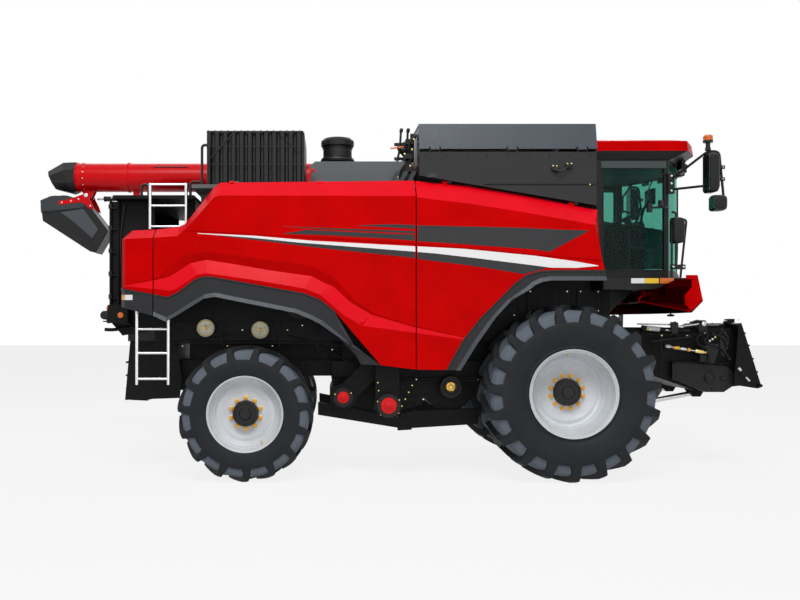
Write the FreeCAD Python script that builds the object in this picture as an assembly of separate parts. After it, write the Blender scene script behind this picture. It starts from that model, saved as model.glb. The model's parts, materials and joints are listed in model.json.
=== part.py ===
import FreeCAD, Part
import math
import os

# Combine harvester, parked with its header off and its feeder house raised.
# Millimetres. X points forward, Y to the machine's left, Z up from the ground.
# Every piece is modelled with X measured from the front axle. Pieces of the rear
# end take their X from the rear axle. save() moves the lot forward by
# FRONT_AXLE_X, so that the origin lies on the ground under the middle of the machine.

V = FreeCAD.Vector

# ---------------------------------------------------------------- driving sizes
WHEELBASE = 3483.0
FRONT_AXLE_X = 2060.0
OVERALL_WIDTH = 3000.0

FRONT_TYRE_RADIUS = 950.0
FRONT_TYRE_WIDTH = 650.0
FRONT_RIM_RADIUS = 475.0
FRONT_DISC_INSET = 300.0
REAR_TYRE_RADIUS = 730.0
REAR_TYRE_WIDTH = 440.0
REAR_TYRE_SETBACK = 80.0
REAR_RIM_RADIUS = 410.0
REAR_DISC_INSET = 125.0
RIM_WALL = 14.0
SEAT_GAP = 0.3
RUNNING_GAP = 6.0

KINGPIN_Y = 900.0
KINGPIN_RADIUS = 42.0
STEER_ARM = 240.0

PANEL_Y = 1400.0
PANEL_BEVEL = 150.0
PANEL_WALL = 25.0
PANEL_JOINT = 12.0
PANEL_REAR = -4450.0
DOOR_SPLIT_X = -1660.0

RAIL_BOTTOM = 1090.0
RAIL_HEIGHT = 180.0
RAIL_WIDTH = 100.0
FRONT_RAIL_Y = 640.0
REAR_RAIL_Y = 440.0
BODY_HALF = 780.0
BODY_TOP = 2200.0
BODY_STEP_Z = 1500.0
SHOE_HALF = 615.0

DECK_Z = 3170.0
DECK_SHEET = 40.0

TANK_REAR = -1616.0
TANK_FRONT = 285.0
TANK_HALF = 1300.0
TANK_RIM_Z = 3540.0
TANK_TOP_Z = 3890.0
TANK_WALL = 12.0
COVER_SHEET = 18.0

CAB_REAR = 430.0
CAB_POST_X = 1240.0
CAB_NOSE_X = 1650.0
CAB_FRONT_POWER = 1.5
CAB_HALF = 830.0
CAB_FLOOR_Z = 2190.0
CAB_GLASS_TOP = 3540.0
CAB_ROOF_TOP = 3780.0
CAB_POST = 60.0
PLATFORM_REAR = 380.0
PLATFORM_FRONT = 1275.0
PLATFORM_HALF = 1230.0
PLATFORM_DEPTH = 125.0
GLASS = 12.0
CAB_HINGE_PIN = 6.0

FEEDER_PIVOT_X = 860.0
FEEDER_PIVOT_Z = 1430.0
FEEDER_HALF = 600.0
FEEDER_WALL = 10.0
FEEDER_SHAFT_RADIUS = 35.0
HEADER_LEAN = 17.5
HEADER_HALF = 760.0

AUGER_PIVOT_X = -1900.0
AUGER_PIVOT_Y = 1000.0
AUGER_AXIS_Z = 3655.0
AUGER_RADIUS = 190.0
AUGER_WALL = 8.0
AUGER_TIP_X = -5960.0

# ---------------------------------------------------------------- derived places
FRONT_OUTER_Y = OVERALL_WIDTH / 2
FRONT_INNER_Y = FRONT_OUTER_Y - FRONT_TYRE_WIDTH
FRONT_HUB_Z = FRONT_TYRE_RADIUS
REAR_OUTER_Y = FRONT_OUTER_Y - REAR_TYRE_SETBACK
REAR_INNER_Y = REAR_OUTER_Y - REAR_TYRE_WIDTH
REAR_HUB_Z = REAR_TYRE_RADIUS
RAIL_TOP = RAIL_BOTTOM + RAIL_HEIGHT
PANEL_BACK_Y = PANEL_Y - PANEL_BEVEL


def rear(x):
    """X of a place given from the rear axle, forward positive."""
    return x - WHEELBASE


# ---------------------------------------------------------------- shape helpers
def box(x0, x1, y0, y1, z0, z1):
    return Part.makeBox(x1 - x0, y1 - y0, z1 - z0, V(x0, y0, z0))


def rod(start, end, radius):
    a = V(*start)
    b = V(*end)
    return Part.makeCylinder(radius, (b - a).Length, a, b - a)


def disc_y(x, z, radius, y0, y1):
    return rod((x, y0, z), (x, y1, z), radius)


def disc_z(x, y, radius, z0, z1):
    return rod((x, y, z0), (x, y, z1), radius)


def polygon(points):
    return Part.Wire(Part.makePolygon([V(*p) for p in points] + [V(*points[0])]).Edges)


def side_slab(outline, y0, y1):
    """Outline given as (x, z) points, extruded from y0 to y1."""
    face = Part.Face(polygon([(x, y0, z) for x, z in outline]))
    return face.extrude(V(0, y1 - y0, 0))


def plan_slab(outline, z0, z1):
    """Outline given as (x, y) points, extruded from z0 to z1."""
    face = Part.Face(polygon([(x, y, z0) for x, y in outline]))
    return face.extrude(V(0, 0, z1 - z0))


def cross_slab(outline, x0, x1):
    """Outline given as (y, z) points, extruded from x0 to x1."""
    face = Part.Face(polygon([(x0, y, z) for y, z in outline]))
    return face.extrude(V(x1 - x0, 0, 0))


def turned(profile, x, z):
    """Profile of (radius, y) points turned about the Y axis through (x, z)."""
    face = Part.Face(polygon([(x + r, y, z) for r, y in profile]))
    return face.revolve(V(x, 0, z), V(0, 1, 0), 360)


def fused(shapes):
    shapes = list(shapes)
    result = shapes[0]
    if len(shapes) > 1:
        result = result.fuse(shapes[1:])
    return result.removeSplitter()


def less(shape, tools):
    for tool in tools:
        shape = shape.cut(tool)
    return shape


def group(shapes):
    return Part.makeCompound(list(shapes))


def left_of(shape):
    """The piece's mirror image on the other side of the machine."""
    return shape.mirror(V(0, 0, 0), V(0, 1, 0))


def both_sides(shape):
    return group([shape, left_of(shape)])


def inset(outline, depth):
    """The outline of (x, z) points moved inward by depth, corner by corner."""
    count = len(outline)
    area = sum(outline[i - 1][0] * outline[i][1] - outline[i][0] * outline[i - 1][1] for i in range(count))
    side = 1 if area > 0 else -1
    lines = []
    for i in range(count):
        x0, z0 = outline[i]
        x1, z1 = outline[(i + 1) % count]
        length = math.hypot(x1 - x0, z1 - z0)
        nx = -side * (z1 - z0) / length
        nz = side * (x1 - x0) / length
        lines.append((nx, nz, nx * x0 + nz * z0 + depth))
    result = []
    for i in range(count):
        a, b, c = lines[i - 1]
        d, e, f = lines[i]
        det = a * e - b * d
        result.append(((c * e - b * f) / det, (a * f - c * d) / det))
    return result


def loft(sections):
    return Part.makeLoft([polygon(s) for s in sections], True, True)


def bent_tube(points, radius, bend):
    """Round bar along the points, with arcs of radius bend at the corners."""
    corners = [V(*p) for p in points]
    edges = []
    start = corners[0]
    for i in range(1, len(corners) - 1):
        before = (corners[i - 1] - corners[i]).normalize()
        after = (corners[i + 1] - corners[i]).normalize()
        half = before.getAngle(after) / 2
        reach = bend / math.tan(half)
        a = corners[i] + before * reach
        b = corners[i] + after * reach
        middle = corners[i] + (before + after).normalize() * (bend / math.sin(half) - bend)
        edges.append(Part.LineSegment(start, a).toShape())
        edges.append(Part.Arc(a, middle, b).toShape())
        start = b
    edges.append(Part.LineSegment(start, corners[-1]).toShape())
    path = Part.Wire(edges)
    heading = corners[1] - corners[0]
    ring = Part.Wire(Part.makeCircle(radius, corners[0], heading))
    return path.makePipeShell([ring], True, False)


def save(name, shape):
    shape = shape.copy()
    shape.translate(V(FRONT_AXLE_X, 0, 0))
    shape.exportStep("parts/" + name + ".step")


# ---------------------------------------------------------------- wheels and axles
def tyre(x, z, radius, width, bore, outer_y):
    """Tyre over its lugs, with rounded shoulders and beads on the rim."""
    inner_y = outer_y - width
    shoulder = 0.13 * radius
    wall = 0.07 * width
    bead = bore + 0.06 * radius
    profile = [
        (bore, outer_y - wall),
        (bead, outer_y - 0.02 * width),
        ((bead + radius) / 2, outer_y),
        (radius - shoulder, outer_y - 0.02 * width),
        (radius - 0.2 * shoulder, outer_y - 0.11 * width),
        (radius, outer_y - 0.26 * width),
        (radius, inner_y + 0.26 * width),
        (radius - 0.2 * shoulder, inner_y + 0.11 * width),
        (radius - shoulder, inner_y + 0.02 * width),
        ((bead + radius) / 2, inner_y),
        (bead, inner_y + 0.02 * width),
        (bore, inner_y + wall),
    ]
    return turned(profile, x, z)


def rim(x, z, radius, outer_y, width, disc_inset, hub_radius, hub_reach):
    """Steel rim: flanges, stepped barrel, dished disc and hub in one piece."""
    barrel = radius * 0.93
    well = barrel - 0.09 * radius
    inner_y = outer_y - width
    disc_y0 = outer_y - disc_inset
    profile = [
        (barrel - RIM_WALL, outer_y),
        (radius, outer_y),
        (radius, outer_y - RIM_WALL),
        (barrel, outer_y - RIM_WALL),
        (barrel, outer_y - 0.22 * width),
        (well, outer_y - 0.30 * width),
        (well, inner_y + 0.30 * width),
        (barrel, inner_y + 0.22 * width),
        (barrel, inner_y + RIM_WALL),
        (radius, inner_y + RIM_WALL),
        (radius, inner_y),
        (barrel - RIM_WALL, inner_y),
        (barrel - RIM_WALL, inner_y + 0.24 * width),
        (well - RIM_WALL, inner_y + 0.32 * width),
        (well - RIM_WALL, outer_y - 0.32 * width),
        (barrel - RIM_WALL, outer_y - 0.24 * width),
    ]
    dish = [
        (0, disc_y0),
        (0.62 * radius, disc_y0),
        (0.74 * radius, disc_y0 - 0.05 * width),
        (well - 0.5 * RIM_WALL, disc_y0 - 0.05 * width),
        (well - 0.5 * RIM_WALL, disc_y0 - 0.05 * width - RIM_WALL),
        (0.72 * radius, disc_y0 - 0.05 * width - RIM_WALL),
        (0.60 * radius, disc_y0 - RIM_WALL),
        (0, disc_y0 - RIM_WALL),
    ]
    cap = [
        (0, disc_y0),
        (hub_radius, disc_y0),
        (hub_radius, disc_y0 + 0.6 * hub_reach),
        (0.8 * hub_radius, disc_y0 + hub_reach),
        (0, disc_y0 + hub_reach),
    ]
    return fused([turned(profile, x, z), turned(dish, x, z), turned(cap, x, z)])


def front_wheel():
    rim_width = FRONT_TYRE_WIDTH * 0.90
    bore = FRONT_RIM_RADIUS * 0.93 + SEAT_GAP
    rubber = tyre(0, FRONT_HUB_Z, FRONT_TYRE_RADIUS, FRONT_TYRE_WIDTH, bore, FRONT_OUTER_Y)
    outer_y = FRONT_OUTER_Y - (FRONT_TYRE_WIDTH - rim_width) / 2
    steel = rim(0, FRONT_HUB_Z, FRONT_RIM_RADIUS, outer_y, rim_width, FRONT_DISC_INSET, 145, 70)
    return rubber.cut(steel), steel


def rear_wheel():
    rim_width = REAR_TYRE_WIDTH * 0.92
    x = rear(0)
    bore = REAR_RIM_RADIUS * 0.93 + SEAT_GAP
    rubber = tyre(x, REAR_HUB_Z, REAR_TYRE_RADIUS, REAR_TYRE_WIDTH, bore, REAR_OUTER_Y)
    outer_y = REAR_OUTER_Y - (REAR_TYRE_WIDTH - rim_width) / 2
    steel = rim(x, REAR_HUB_Z, REAR_RIM_RADIUS, outer_y, rim_width, REAR_DISC_INSET, 140, 80)
    return rubber.cut(steel), steel


FRONT_DISC_BACK = FRONT_OUTER_Y - FRONT_TYRE_WIDTH * 0.05 - FRONT_DISC_INSET - RIM_WALL
REAR_DISC_BACK = REAR_OUTER_Y - REAR_TYRE_WIDTH * 0.04 - REAR_DISC_INSET - RIM_WALL


def front_axle():
    """Drive axle: cross beam, gearbox bulge, drop boxes and hub flanges."""
    beam_top = RAIL_BOTTOM - 20
    beam = box(-120, 120, -FRONT_INNER_Y + 60, FRONT_INNER_Y - 60, beam_top - 240, beam_top)
    gearbox = disc_y(0, beam_top - 130, 160, -260, 120)
    pieces = [beam, gearbox]
    for side in (-1, 1):
        rail_y = side * (FRONT_RAIL_Y + RAIL_WIDTH / 2)
        half = RAIL_WIDTH / 2
        pieces.append(box(-150, 150, rail_y - half, rail_y + half, beam_top - 20, RAIL_BOTTOM))
        start = side * (FRONT_RAIL_Y + RAIL_WIDTH + 10)
        drum_end = side * (FRONT_INNER_Y + 70)
        hub_end = side * (FRONT_DISC_BACK - SEAT_GAP)
        pieces.append(rod((0, start, FRONT_HUB_Z), (0, drum_end, FRONT_HUB_Z), 230))
        pieces.append(rod((0, start, FRONT_HUB_Z), (0, hub_end, FRONT_HUB_Z), 150))
    return fused(pieces)


def rear_axle():
    """Steering axle beam with kingpin eyes and the rocking bracket under the frame."""
    x = rear(0)
    eye = KINGPIN_RADIUS + 38
    beam = box(x - 90, x + 90, -KINGPIN_Y + eye - 20, KINGPIN_Y - eye + 20, REAR_HUB_Z - 10, REAR_HUB_Z + 150)
    eyes = []
    bores = []
    for side in (-1, 1):
        eyes.append(disc_z(x, side * KINGPIN_Y, eye, REAR_HUB_Z - 60, REAR_HUB_Z + 160))
        bores.append(disc_z(x, side * KINGPIN_Y, KINGPIN_RADIUS + SEAT_GAP, REAR_HUB_Z - 70, REAR_HUB_Z + 170))
    saddle_outline = [(x - 210, RAIL_BOTTOM), (x - 100, REAR_HUB_Z + 60), (x + 100, REAR_HUB_Z + 60), (x + 210, RAIL_BOTTOM)]
    saddle = side_slab(saddle_outline, -170, 170)
    bridge = box(x - 210, x + 210, -REAR_RAIL_Y - RAIL_WIDTH, REAR_RAIL_Y + RAIL_WIDTH, RAIL_BOTTOM - 60, RAIL_BOTTOM)
    pin = rod((x - 230, 0, REAR_HUB_Z + 130), (x + 230, 0, REAR_HUB_Z + 130), 55)
    return less(fused([beam, saddle, bridge, pin] + eyes), bores)


def knuckle():
    """Left steering knuckle: kingpin, fork round the axle eye, spindle and steering arm."""
    x = rear(0)
    z = REAR_HUB_Z
    pin = disc_z(x, KINGPIN_Y, KINGPIN_RADIUS, z - 110, z + 210)
    lower = disc_z(x, KINGPIN_Y, 78, z - 110, z - 60 - SEAT_GAP)
    upper = disc_z(x, KINGPIN_Y, 78, z + 160 + SEAT_GAP, z + 210)
    cheek_y = KINGPIN_Y + KINGPIN_RADIUS + 38 + RUNNING_GAP
    web = box(x - 70, x + 70, cheek_y, cheek_y + 45, z - 110, z + 210)
    low_arm = box(x - 70, x + 70, KINGPIN_Y, cheek_y + 10, z - 110, z - 60 - SEAT_GAP)
    top_arm = box(x - 70, x + 70, KINGPIN_Y, cheek_y + 10, z + 160 + SEAT_GAP, z + 210)
    spindle = disc_y(x, z, 62, cheek_y + 20, REAR_DISC_BACK - SEAT_GAP)
    flange = disc_y(x, z, 120, REAR_DISC_BACK - 40, REAR_DISC_BACK - SEAT_GAP)
    arm = box(x - STEER_ARM - 35, x, KINGPIN_Y - 35, KINGPIN_Y + 35, z - 110, z - 80)
    ball = disc_z(x - STEER_ARM, KINGPIN_Y, 14, z - 112, z - 20)
    return fused([pin, lower, upper, web, low_arm, top_arm, spindle, flange, arm, ball])


def steering_rod():
    """Track rod between the two steering arms, with an eye round each pin."""
    x = rear(-STEER_ARM)
    z = REAR_HUB_Z
    bar = rod((x, -KINGPIN_Y + 20, z - 52), (x, KINGPIN_Y - 20, z - 52), 18)
    eyes = [disc_z(x, side * KINGPIN_Y, 30, z - 74, z - 30) for side in (-1, 1)]
    bores = [disc_z(x, side * KINGPIN_Y, 14 + SEAT_GAP, z - 90, z - 10) for side in (-1, 1)]
    return less(fused([bar] + eyes), bores)


# ---------------------------------------------------------------- frame and body
CROSS_BEAM_X = rear(980)
FRAME_FRONT_X = 600.0
FRAME_REAR_X = rear(-820)
LOWER_BAR_Y = SHOE_HALF


def main_frame():
    """Ladder frame, wide in front and narrow between the steered wheels."""
    pieces = []
    for side in (-1, 1):
        wide = sorted((side * FRONT_RAIL_Y, side * (FRONT_RAIL_Y + RAIL_WIDTH)))
        slim = sorted((side * REAR_RAIL_Y, side * (REAR_RAIL_Y + RAIL_WIDTH)))
        pieces.append(box(CROSS_BEAM_X, FRAME_FRONT_X, wide[0], wide[1], RAIL_BOTTOM, RAIL_TOP))
        pieces.append(box(FRAME_REAR_X, CROSS_BEAM_X, slim[0], slim[1], RAIL_BOTTOM, RAIL_TOP))
    reach = FRONT_RAIL_Y + RAIL_WIDTH
    pieces.append(box(CROSS_BEAM_X - 50, CROSS_BEAM_X + 70, -reach, reach, RAIL_BOTTOM, RAIL_TOP))
    pieces.append(box(FRAME_REAR_X, FRAME_REAR_X + 80, -REAR_RAIL_Y, REAR_RAIL_Y, RAIL_BOTTOM, RAIL_TOP))
    for side in (-1, 1):
        hanger_y = sorted((side * FRONT_RAIL_Y, side * (FRONT_RAIL_Y + RAIL_WIDTH)))
        outline = [
            (FRAME_FRONT_X - 200, RAIL_TOP),
            (FRAME_FRONT_X, RAIL_BOTTOM),
            (FEEDER_PIVOT_X + 60, FEEDER_PIVOT_Z - 100),
            (FEEDER_PIVOT_X + 90, FEEDER_PIVOT_Z + 90),
            (FEEDER_PIVOT_X - 40, FEEDER_PIVOT_Z + 130),
            (FRAME_FRONT_X + RUNNING_GAP, FEEDER_PIVOT_Z + 130),
            (FRAME_FRONT_X + RUNNING_GAP, BODY_STEP_Z - SEAT_GAP),
            (FRAME_FRONT_X - 200, BODY_STEP_Z - SEAT_GAP),
        ]
        hanger = side_slab(outline, hanger_y[0], hanger_y[1])
        bore = disc_y(FEEDER_PIVOT_X, FEEDER_PIVOT_Z, FEEDER_SHAFT_RADIUS + SEAT_GAP, hanger_y[0] - 10, hanger_y[1] + 10)
        pieces.append(hanger.cut(bore))
    return fused(pieces)


def separator_body():
    """Closed threshing and straw-walker housing on the frame."""
    front = FRAME_FRONT_X
    back = rear(-1080)
    upper = box(back, front, -BODY_HALF, BODY_HALF, BODY_STEP_Z, BODY_TOP)
    flank = FRONT_RAIL_Y - SEAT_GAP
    middle = box(CROSS_BEAM_X + 70, front, -flank, flank, RAIL_BOTTOM + 20, BODY_STEP_Z)
    narrow = REAR_RAIL_Y - SEAT_GAP
    tail = box(FRAME_REAR_X + 80, CROSS_BEAM_X - 50, -narrow, narrow, RAIL_BOTTOM + 20, BODY_STEP_Z)
    tray = box(FRAME_REAR_X + 80, front - 200, -narrow, narrow, RAIL_TOP + SEAT_GAP, BODY_STEP_Z)
    throat = box(front - 260, front + 10, -FEEDER_HALF + 30, FEEDER_HALF - 30, FEEDER_PIVOT_Z - 230, FEEDER_PIVOT_Z + 180)
    notch_floor = CAB_FLOOR_Z - PLATFORM_DEPTH
    notch = box(PLATFORM_REAR - RUNNING_GAP, front + 10, -BODY_HALF - 10, BODY_HALF + 10, notch_floor, BODY_TOP + 10)
    return less(fused([upper, middle, tail, tray]), [throat, notch])


AUGER_CLEAN = (-1940.0, 805.0)
AUGER_RETURN = (-2430.0, 880.0)
TROUGH_RADIUS = 150.0
FAN_X = -1215.0
FAN_Z = 985.0
FAN_RADIUS = 300.0


def cleaning_shoe():
    """Sieve box with its two auger troughs underneath."""
    bottom = RAIL_BOTTOM + 20 - SEAT_GAP
    outline = [
        (FAN_X - 260, bottom),
        (FAN_X - 300, 760),
        (AUGER_CLEAN[0] + 60, AUGER_CLEAN[1] - 135),
        (AUGER_CLEAN[0] - 60, AUGER_CLEAN[1] - 135),
        (AUGER_RETURN[0] + 60, AUGER_RETURN[1] - 120),
        (AUGER_RETURN[0] - 60, AUGER_RETURN[1] - 130),
        (CROSS_BEAM_X - 60, RAIL_BOTTOM - 12),
        (CROSS_BEAM_X + 76, RAIL_BOTTOM - 12),
        (CROSS_BEAM_X + 76, bottom),
    ]
    box_part = side_slab(outline, -SHOE_HALF, SHOE_HALF)
    troughs = [disc_y(x, z, TROUGH_RADIUS, -SHOE_HALF, SHOE_HALF) for x, z in (AUGER_CLEAN, AUGER_RETURN)]
    return fused([box_part] + troughs)


def fan_housing():
    drum = disc_y(FAN_X, FAN_Z, FAN_RADIUS, -SHOE_HALF, SHOE_HALF)
    roof = box(FAN_X - FAN_RADIUS, FAN_X + FAN_RADIUS, -BODY_HALF, BODY_HALF, RAIL_BOTTOM + 20 - SEAT_GAP, RAIL_TOP + 400)
    inlet = disc_y(FAN_X, FAN_Z, 90, -SHOE_HALF - 40, SHOE_HALF + 40)
    shoe = cleaning_shoe()
    return fused([less(drum, [roof, shoe]), inlet.cut(roof)])


def lower_side_bars():
    """Pressed bars along the foot of the sieve box, one pair on each side."""
    back_bar = [(-2715, 796), (-1790, 612), (-1790, 500), (-2715, 650)]
    front_bar = [(-1640, 692), (-860, 727), (-880, 545), (-1650, 497)]
    bracket = [(-1800, 660), (-1630, 690), (-1640, 480), (-1800, 470)]
    one = fused([side_slab(o, -LOWER_BAR_Y - 60, -LOWER_BAR_Y) for o in (back_bar, front_bar, bracket)])
    return both_sides(one)


GRAIN_LEG_Y = (-1140.0, -980.0)
RETURN_LEG_Y = (-950.0, -800.0)


def grain_elevator():
    """Clean-grain elevator: boot on the cross auger, straight leg, head into the tank."""
    x, z = AUGER_CLEAN
    y0, y1 = GRAIN_LEG_Y
    boot = disc_y(x, z, TROUGH_RADIUS + 5, y0, y1)
    leg = box(x - 140, x + 120, y0, y1, z, DECK_Z - 200)
    head = box(x - 140, TANK_REAR - SEAT_GAP, y0, y1, DECK_Z - 420, DECK_Z - 60)
    tube = disc_y(x, z, 90, y1, -SHOE_HALF - SEAT_GAP)
    return fused([boot, leg, head, tube])


def returns_elevator():
    """Returns elevator: boot on its cross auger and a leg leaning forward to the drum."""
    x, z = AUGER_RETURN
    y0, y1 = RETURN_LEG_Y
    boot = disc_y(x, z, TROUGH_RADIUS - 5, y0, y1)
    lean = math.radians(45)
    length = 1560.0
    along = (math.cos(lean), math.sin(lean))
    across = (-math.sin(lean), math.cos(lean))
    outline = []
    for s, t in ((0, -110), (length, -110), (length, 110), (0, 110)):
        outline.append((x + along[0] * s + across[0] * t, z + along[1] * s + across[1] * t))
    leg = side_slab(outline, y0, y1)
    top_x = x + along[0] * (length - 120)
    top_z = z + along[1] * (length - 120)
    outlet = disc_y(top_x, top_z, 90, y1, -BODY_HALF - SEAT_GAP)
    tube = disc_y(x, z, 80, y1, -SHOE_HALF - SEAT_GAP)
    return fused([boot, leg, outlet, tube])


def pulley(x, z, radius, width, y_face, y_shaft, hub_radius):
    """Belt pulley with a groove and raised rims, on a shaft to the wall behind."""
    half = width / 2
    lip = 0.16 * width
    groove = 0.88 * radius
    profile = [
        (0, y_face),
        (hub_radius, y_face),
        (hub_radius, y_face + 0.3 * width),
        (0.8 * radius, y_face + 0.3 * width),
        (0.8 * radius, y_face),
        (radius, y_face),
        (radius, y_face + lip),
        (groove, y_face + half),
        (radius, y_face + width - lip),
        (radius, y_face + width),
        (0, y_face + width),
    ]
    wheel = turned(profile, x, z)
    shaft = disc_y(x, z, 0.25 * radius, y_face + width, y_shaft)
    return fused([wheel, shaft])


RIGHT_PULLEYS = [
    # x, z, radius, width, outer face y, wall y, hub radius
    (-3972.0, 1646.0, 95.0, 50.0, -880.0, -BODY_HALF - SEAT_GAP, 24.0),
    (-3361.0, 1624.0, 95.0, 50.0, -880.0, -BODY_HALF - SEAT_GAP, 24.0),
    (-2900.0, 1960.0, 210.0, 60.0, -900.0, -BODY_HALF - SEAT_GAP, 50.0),
    (AUGER_CLEAN[0], AUGER_CLEAN[1], 130.0, 45.0, -1200.0, GRAIN_LEG_Y[0] - SEAT_GAP, 60.0),
    (AUGER_RETURN[0], AUGER_RETURN[1], 110.0, 45.0, -1020.0, RETURN_LEG_Y[0] - SEAT_GAP, 55.0),
    (FAN_X, FAN_Z, 125.0, 60.0, -812.0, -SHOE_HALF - 40 - SEAT_GAP, 45.0),
]


def right_pulleys():
    return group([pulley(*entry) for entry in RIGHT_PULLEYS])


def left_pulleys():
    """Main drive pulleys on the far side wall."""
    wall = -BODY_HALF - SEAT_GAP
    sizes = [(-1250.0, 1760.0, 200.0), (-1720.0, 2040.0, 120.0), (-2350.0, 1960.0, 290.0), (-3700.0, 1720.0, 150.0)]
    return group([left_of(pulley(x, z, r, 80.0, -910.0, wall, 0.3 * r)) for x, z, r in sizes])


# ---------------------------------------------------------------- engine and deck
DECK_REAR = rear(-600)
DECK_FRONT = TANK_REAR - 20
DECK_HALF = 1180.0
COVER_REAR = -2830.0
COVER_TOP = 3490.0


def engine_block():
    """Engine as one plain block at its real place and size."""
    return box(DECK_FRONT - 1150, DECK_FRONT - 250, -420, 480, BODY_TOP, BODY_TOP + 820)


def engine_deck():
    """Deck plate on posts, the raised cover over the engine and the hinge brackets."""
    plate = box(DECK_REAR, DECK_FRONT, -DECK_HALF, DECK_HALF, DECK_Z, DECK_Z + DECK_SHEET)
    posts = []
    for x in (DECK_REAR + 40, DECK_FRONT - 140):
        for y in (-BODY_HALF + 20, BODY_HALF - 120):
            posts.append(box(x, x + 100, y, y + 100, BODY_TOP, DECK_Z))
    cover_outline = [
        (COVER_REAR, DECK_Z + DECK_SHEET),
        (COVER_REAR + 30, COVER_TOP - 50),
        (COVER_REAR + 90, COVER_TOP),
        (DECK_FRONT - 40, COVER_TOP),
        (DECK_FRONT - 10, DECK_Z + DECK_SHEET),
    ]
    cover = side_slab(cover_outline, -1020, 700)
    hole = disc_z(AUGER_PIVOT_X, AUGER_PIVOT_Y, TURRET_RADIUS + 5, DECK_Z - 10, DECK_Z + DECK_SHEET + 10)
    deck = fused([plate, cover] + posts).cut(hole)
    return fused([deck] + rear_hinge_brackets())


RADIATOR_REAR = -3940.0
RADIATOR_FRONT = -2860.0
RADIATOR_TOP = 3810.0
RADIATOR_Y0 = -1060.0
RADIATOR_Y1 = -120.0
PLEATS = 12


def radiator_housing():
    """Pleated intake housing: upright ribs all round under a flat lid."""
    base = DECK_Z + DECK_SHEET
    pitch = (RADIATOR_FRONT - RADIATOR_REAR) / PLEATS
    depth = 38.0
    outline = []
    for i in range(PLEATS):
        x = RADIATOR_REAR + i * pitch
        outline += [(x + 0.10 * pitch, RADIATOR_Y0), (x + 0.55 * pitch, RADIATOR_Y0)]
        outline += [(x + 0.70 * pitch, RADIATOR_Y0 + depth), (x + 0.95 * pitch, RADIATOR_Y0 + depth)]
    outline += [(RADIATOR_FRONT, RADIATOR_Y0 + depth), (RADIATOR_FRONT, RADIATOR_Y1), (RADIATOR_REAR, RADIATOR_Y1)]
    outline += [(RADIATOR_REAR, RADIATOR_Y0 + depth)]
    core = plan_slab(outline, base, RADIATOR_TOP)
    lid = box(RADIATOR_REAR + 10, RADIATOR_FRONT - 10, RADIATOR_Y0 + 10, RADIATOR_Y1, RADIATOR_TOP, RADIATOR_TOP + 12)
    return fused([core, lid])


def air_precleaner():
    """Air intake drum: stem, flange ring, body, waist and domed top."""
    x = -2490.0
    y = -600.0
    base = 3490.0
    profile = [
        (0, base), (120, base), (120, base + 60), (190, base + 60), (196, base + 80), (190, base + 100),
        (165, base + 110), (165, base + 235), (186, base + 245), (190, base + 300), (165, base + 330),
        (90, base + 348), (0, base + 352),
    ]
    face = Part.Face(polygon([(x + r, y, z) for r, z in profile]))
    return face.revolve(V(x, y, 0), V(0, 0, 1), 360)


# ---------------------------------------------------------------- grain tank
COVER_HINGE_Z = TANK_RIM_Z + 30
COVER_HINGE_RADIUS = 12.0
COVER_FOLD_Y = 1250.0
COVER_FOLD_DROP = 40.0
TANK_FOOT_REAR = 3285.0
TANK_FOOT_FRONT = 2965.0
TANK_SHELF = 100.0
TANK_NECK = 320.0


def tank_foot(x):
    """Height of the sloping lower edge of the tank's sides at x."""
    share = (x - TANK_REAR) / (TANK_FRONT - TANK_REAR)
    return TANK_FOOT_REAR + share * (TANK_FOOT_FRONT - TANK_FOOT_REAR)


def tank_shell(offset):
    """Closed outer or inner form of the tank: upright walls and a shelf over a hopper."""
    half = TANK_HALF - offset
    x0 = TANK_REAR + offset
    x1 = TANK_FRONT - offset
    z0 = tank_foot(x0) + offset
    z1 = tank_foot(x1) + offset
    floor = BODY_TOP + 60 + offset
    neck = TANK_NECK - offset
    shelf = half - TANK_SHELF
    front_foot = x1 - 350
    upper = side_slab([(x0, z0), (x1, z1), (x1, TANK_RIM_Z), (x0, TANK_RIM_Z)], -half, half)
    ring = [(x0, -shelf, z0), (x1, -shelf, z1), (x1, shelf, z1), (x0, shelf, z0)]
    base = [(x0, -neck, floor), (front_foot, -neck, floor), (front_foot, neck, floor), (x0, neck, floor)]
    return upper.fuse(loft([ring, base]))


def gable(x0, x1, offset):
    """Upright end wall up to the underside of the closed covers."""
    half = TANK_HALF - offset
    top = TANK_TOP_Z - COVER_SHEET - RUNNING_GAP
    fold = COVER_FOLD_Y - 14
    eave = top - COVER_FOLD_DROP
    outline = [(-half, TANK_RIM_Z), (half, TANK_RIM_Z), (fold, eave), (0, top), (-fold, eave)]
    return cross_slab(outline, x0, x1)


def grain_tank():
    """Open-topped tank with gables under the covers, feet, and its cross auger."""
    inside = TANK_WALL
    mouth = box(
        TANK_REAR + inside, TANK_FRONT - inside, -TANK_HALF + inside, TANK_HALF - inside,
        TANK_RIM_Z - inside, TANK_RIM_Z + inside,
    )
    shell = less(tank_shell(0), [tank_shell(inside), mouth])
    gables = [gable(TANK_REAR, TANK_REAR + inside, 20), gable(TANK_FRONT - inside, TANK_FRONT, 20)]
    feet = [box(x, x + 100, -TANK_NECK, TANK_NECK, BODY_TOP, BODY_TOP + 60) for x in (TANK_REAR + 116, -700)]
    hinges = cover_hinges(-1) + cover_hinges(1)
    return fused([shell] + gables + feet + front_hinge_brackets() + hinges)


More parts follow.
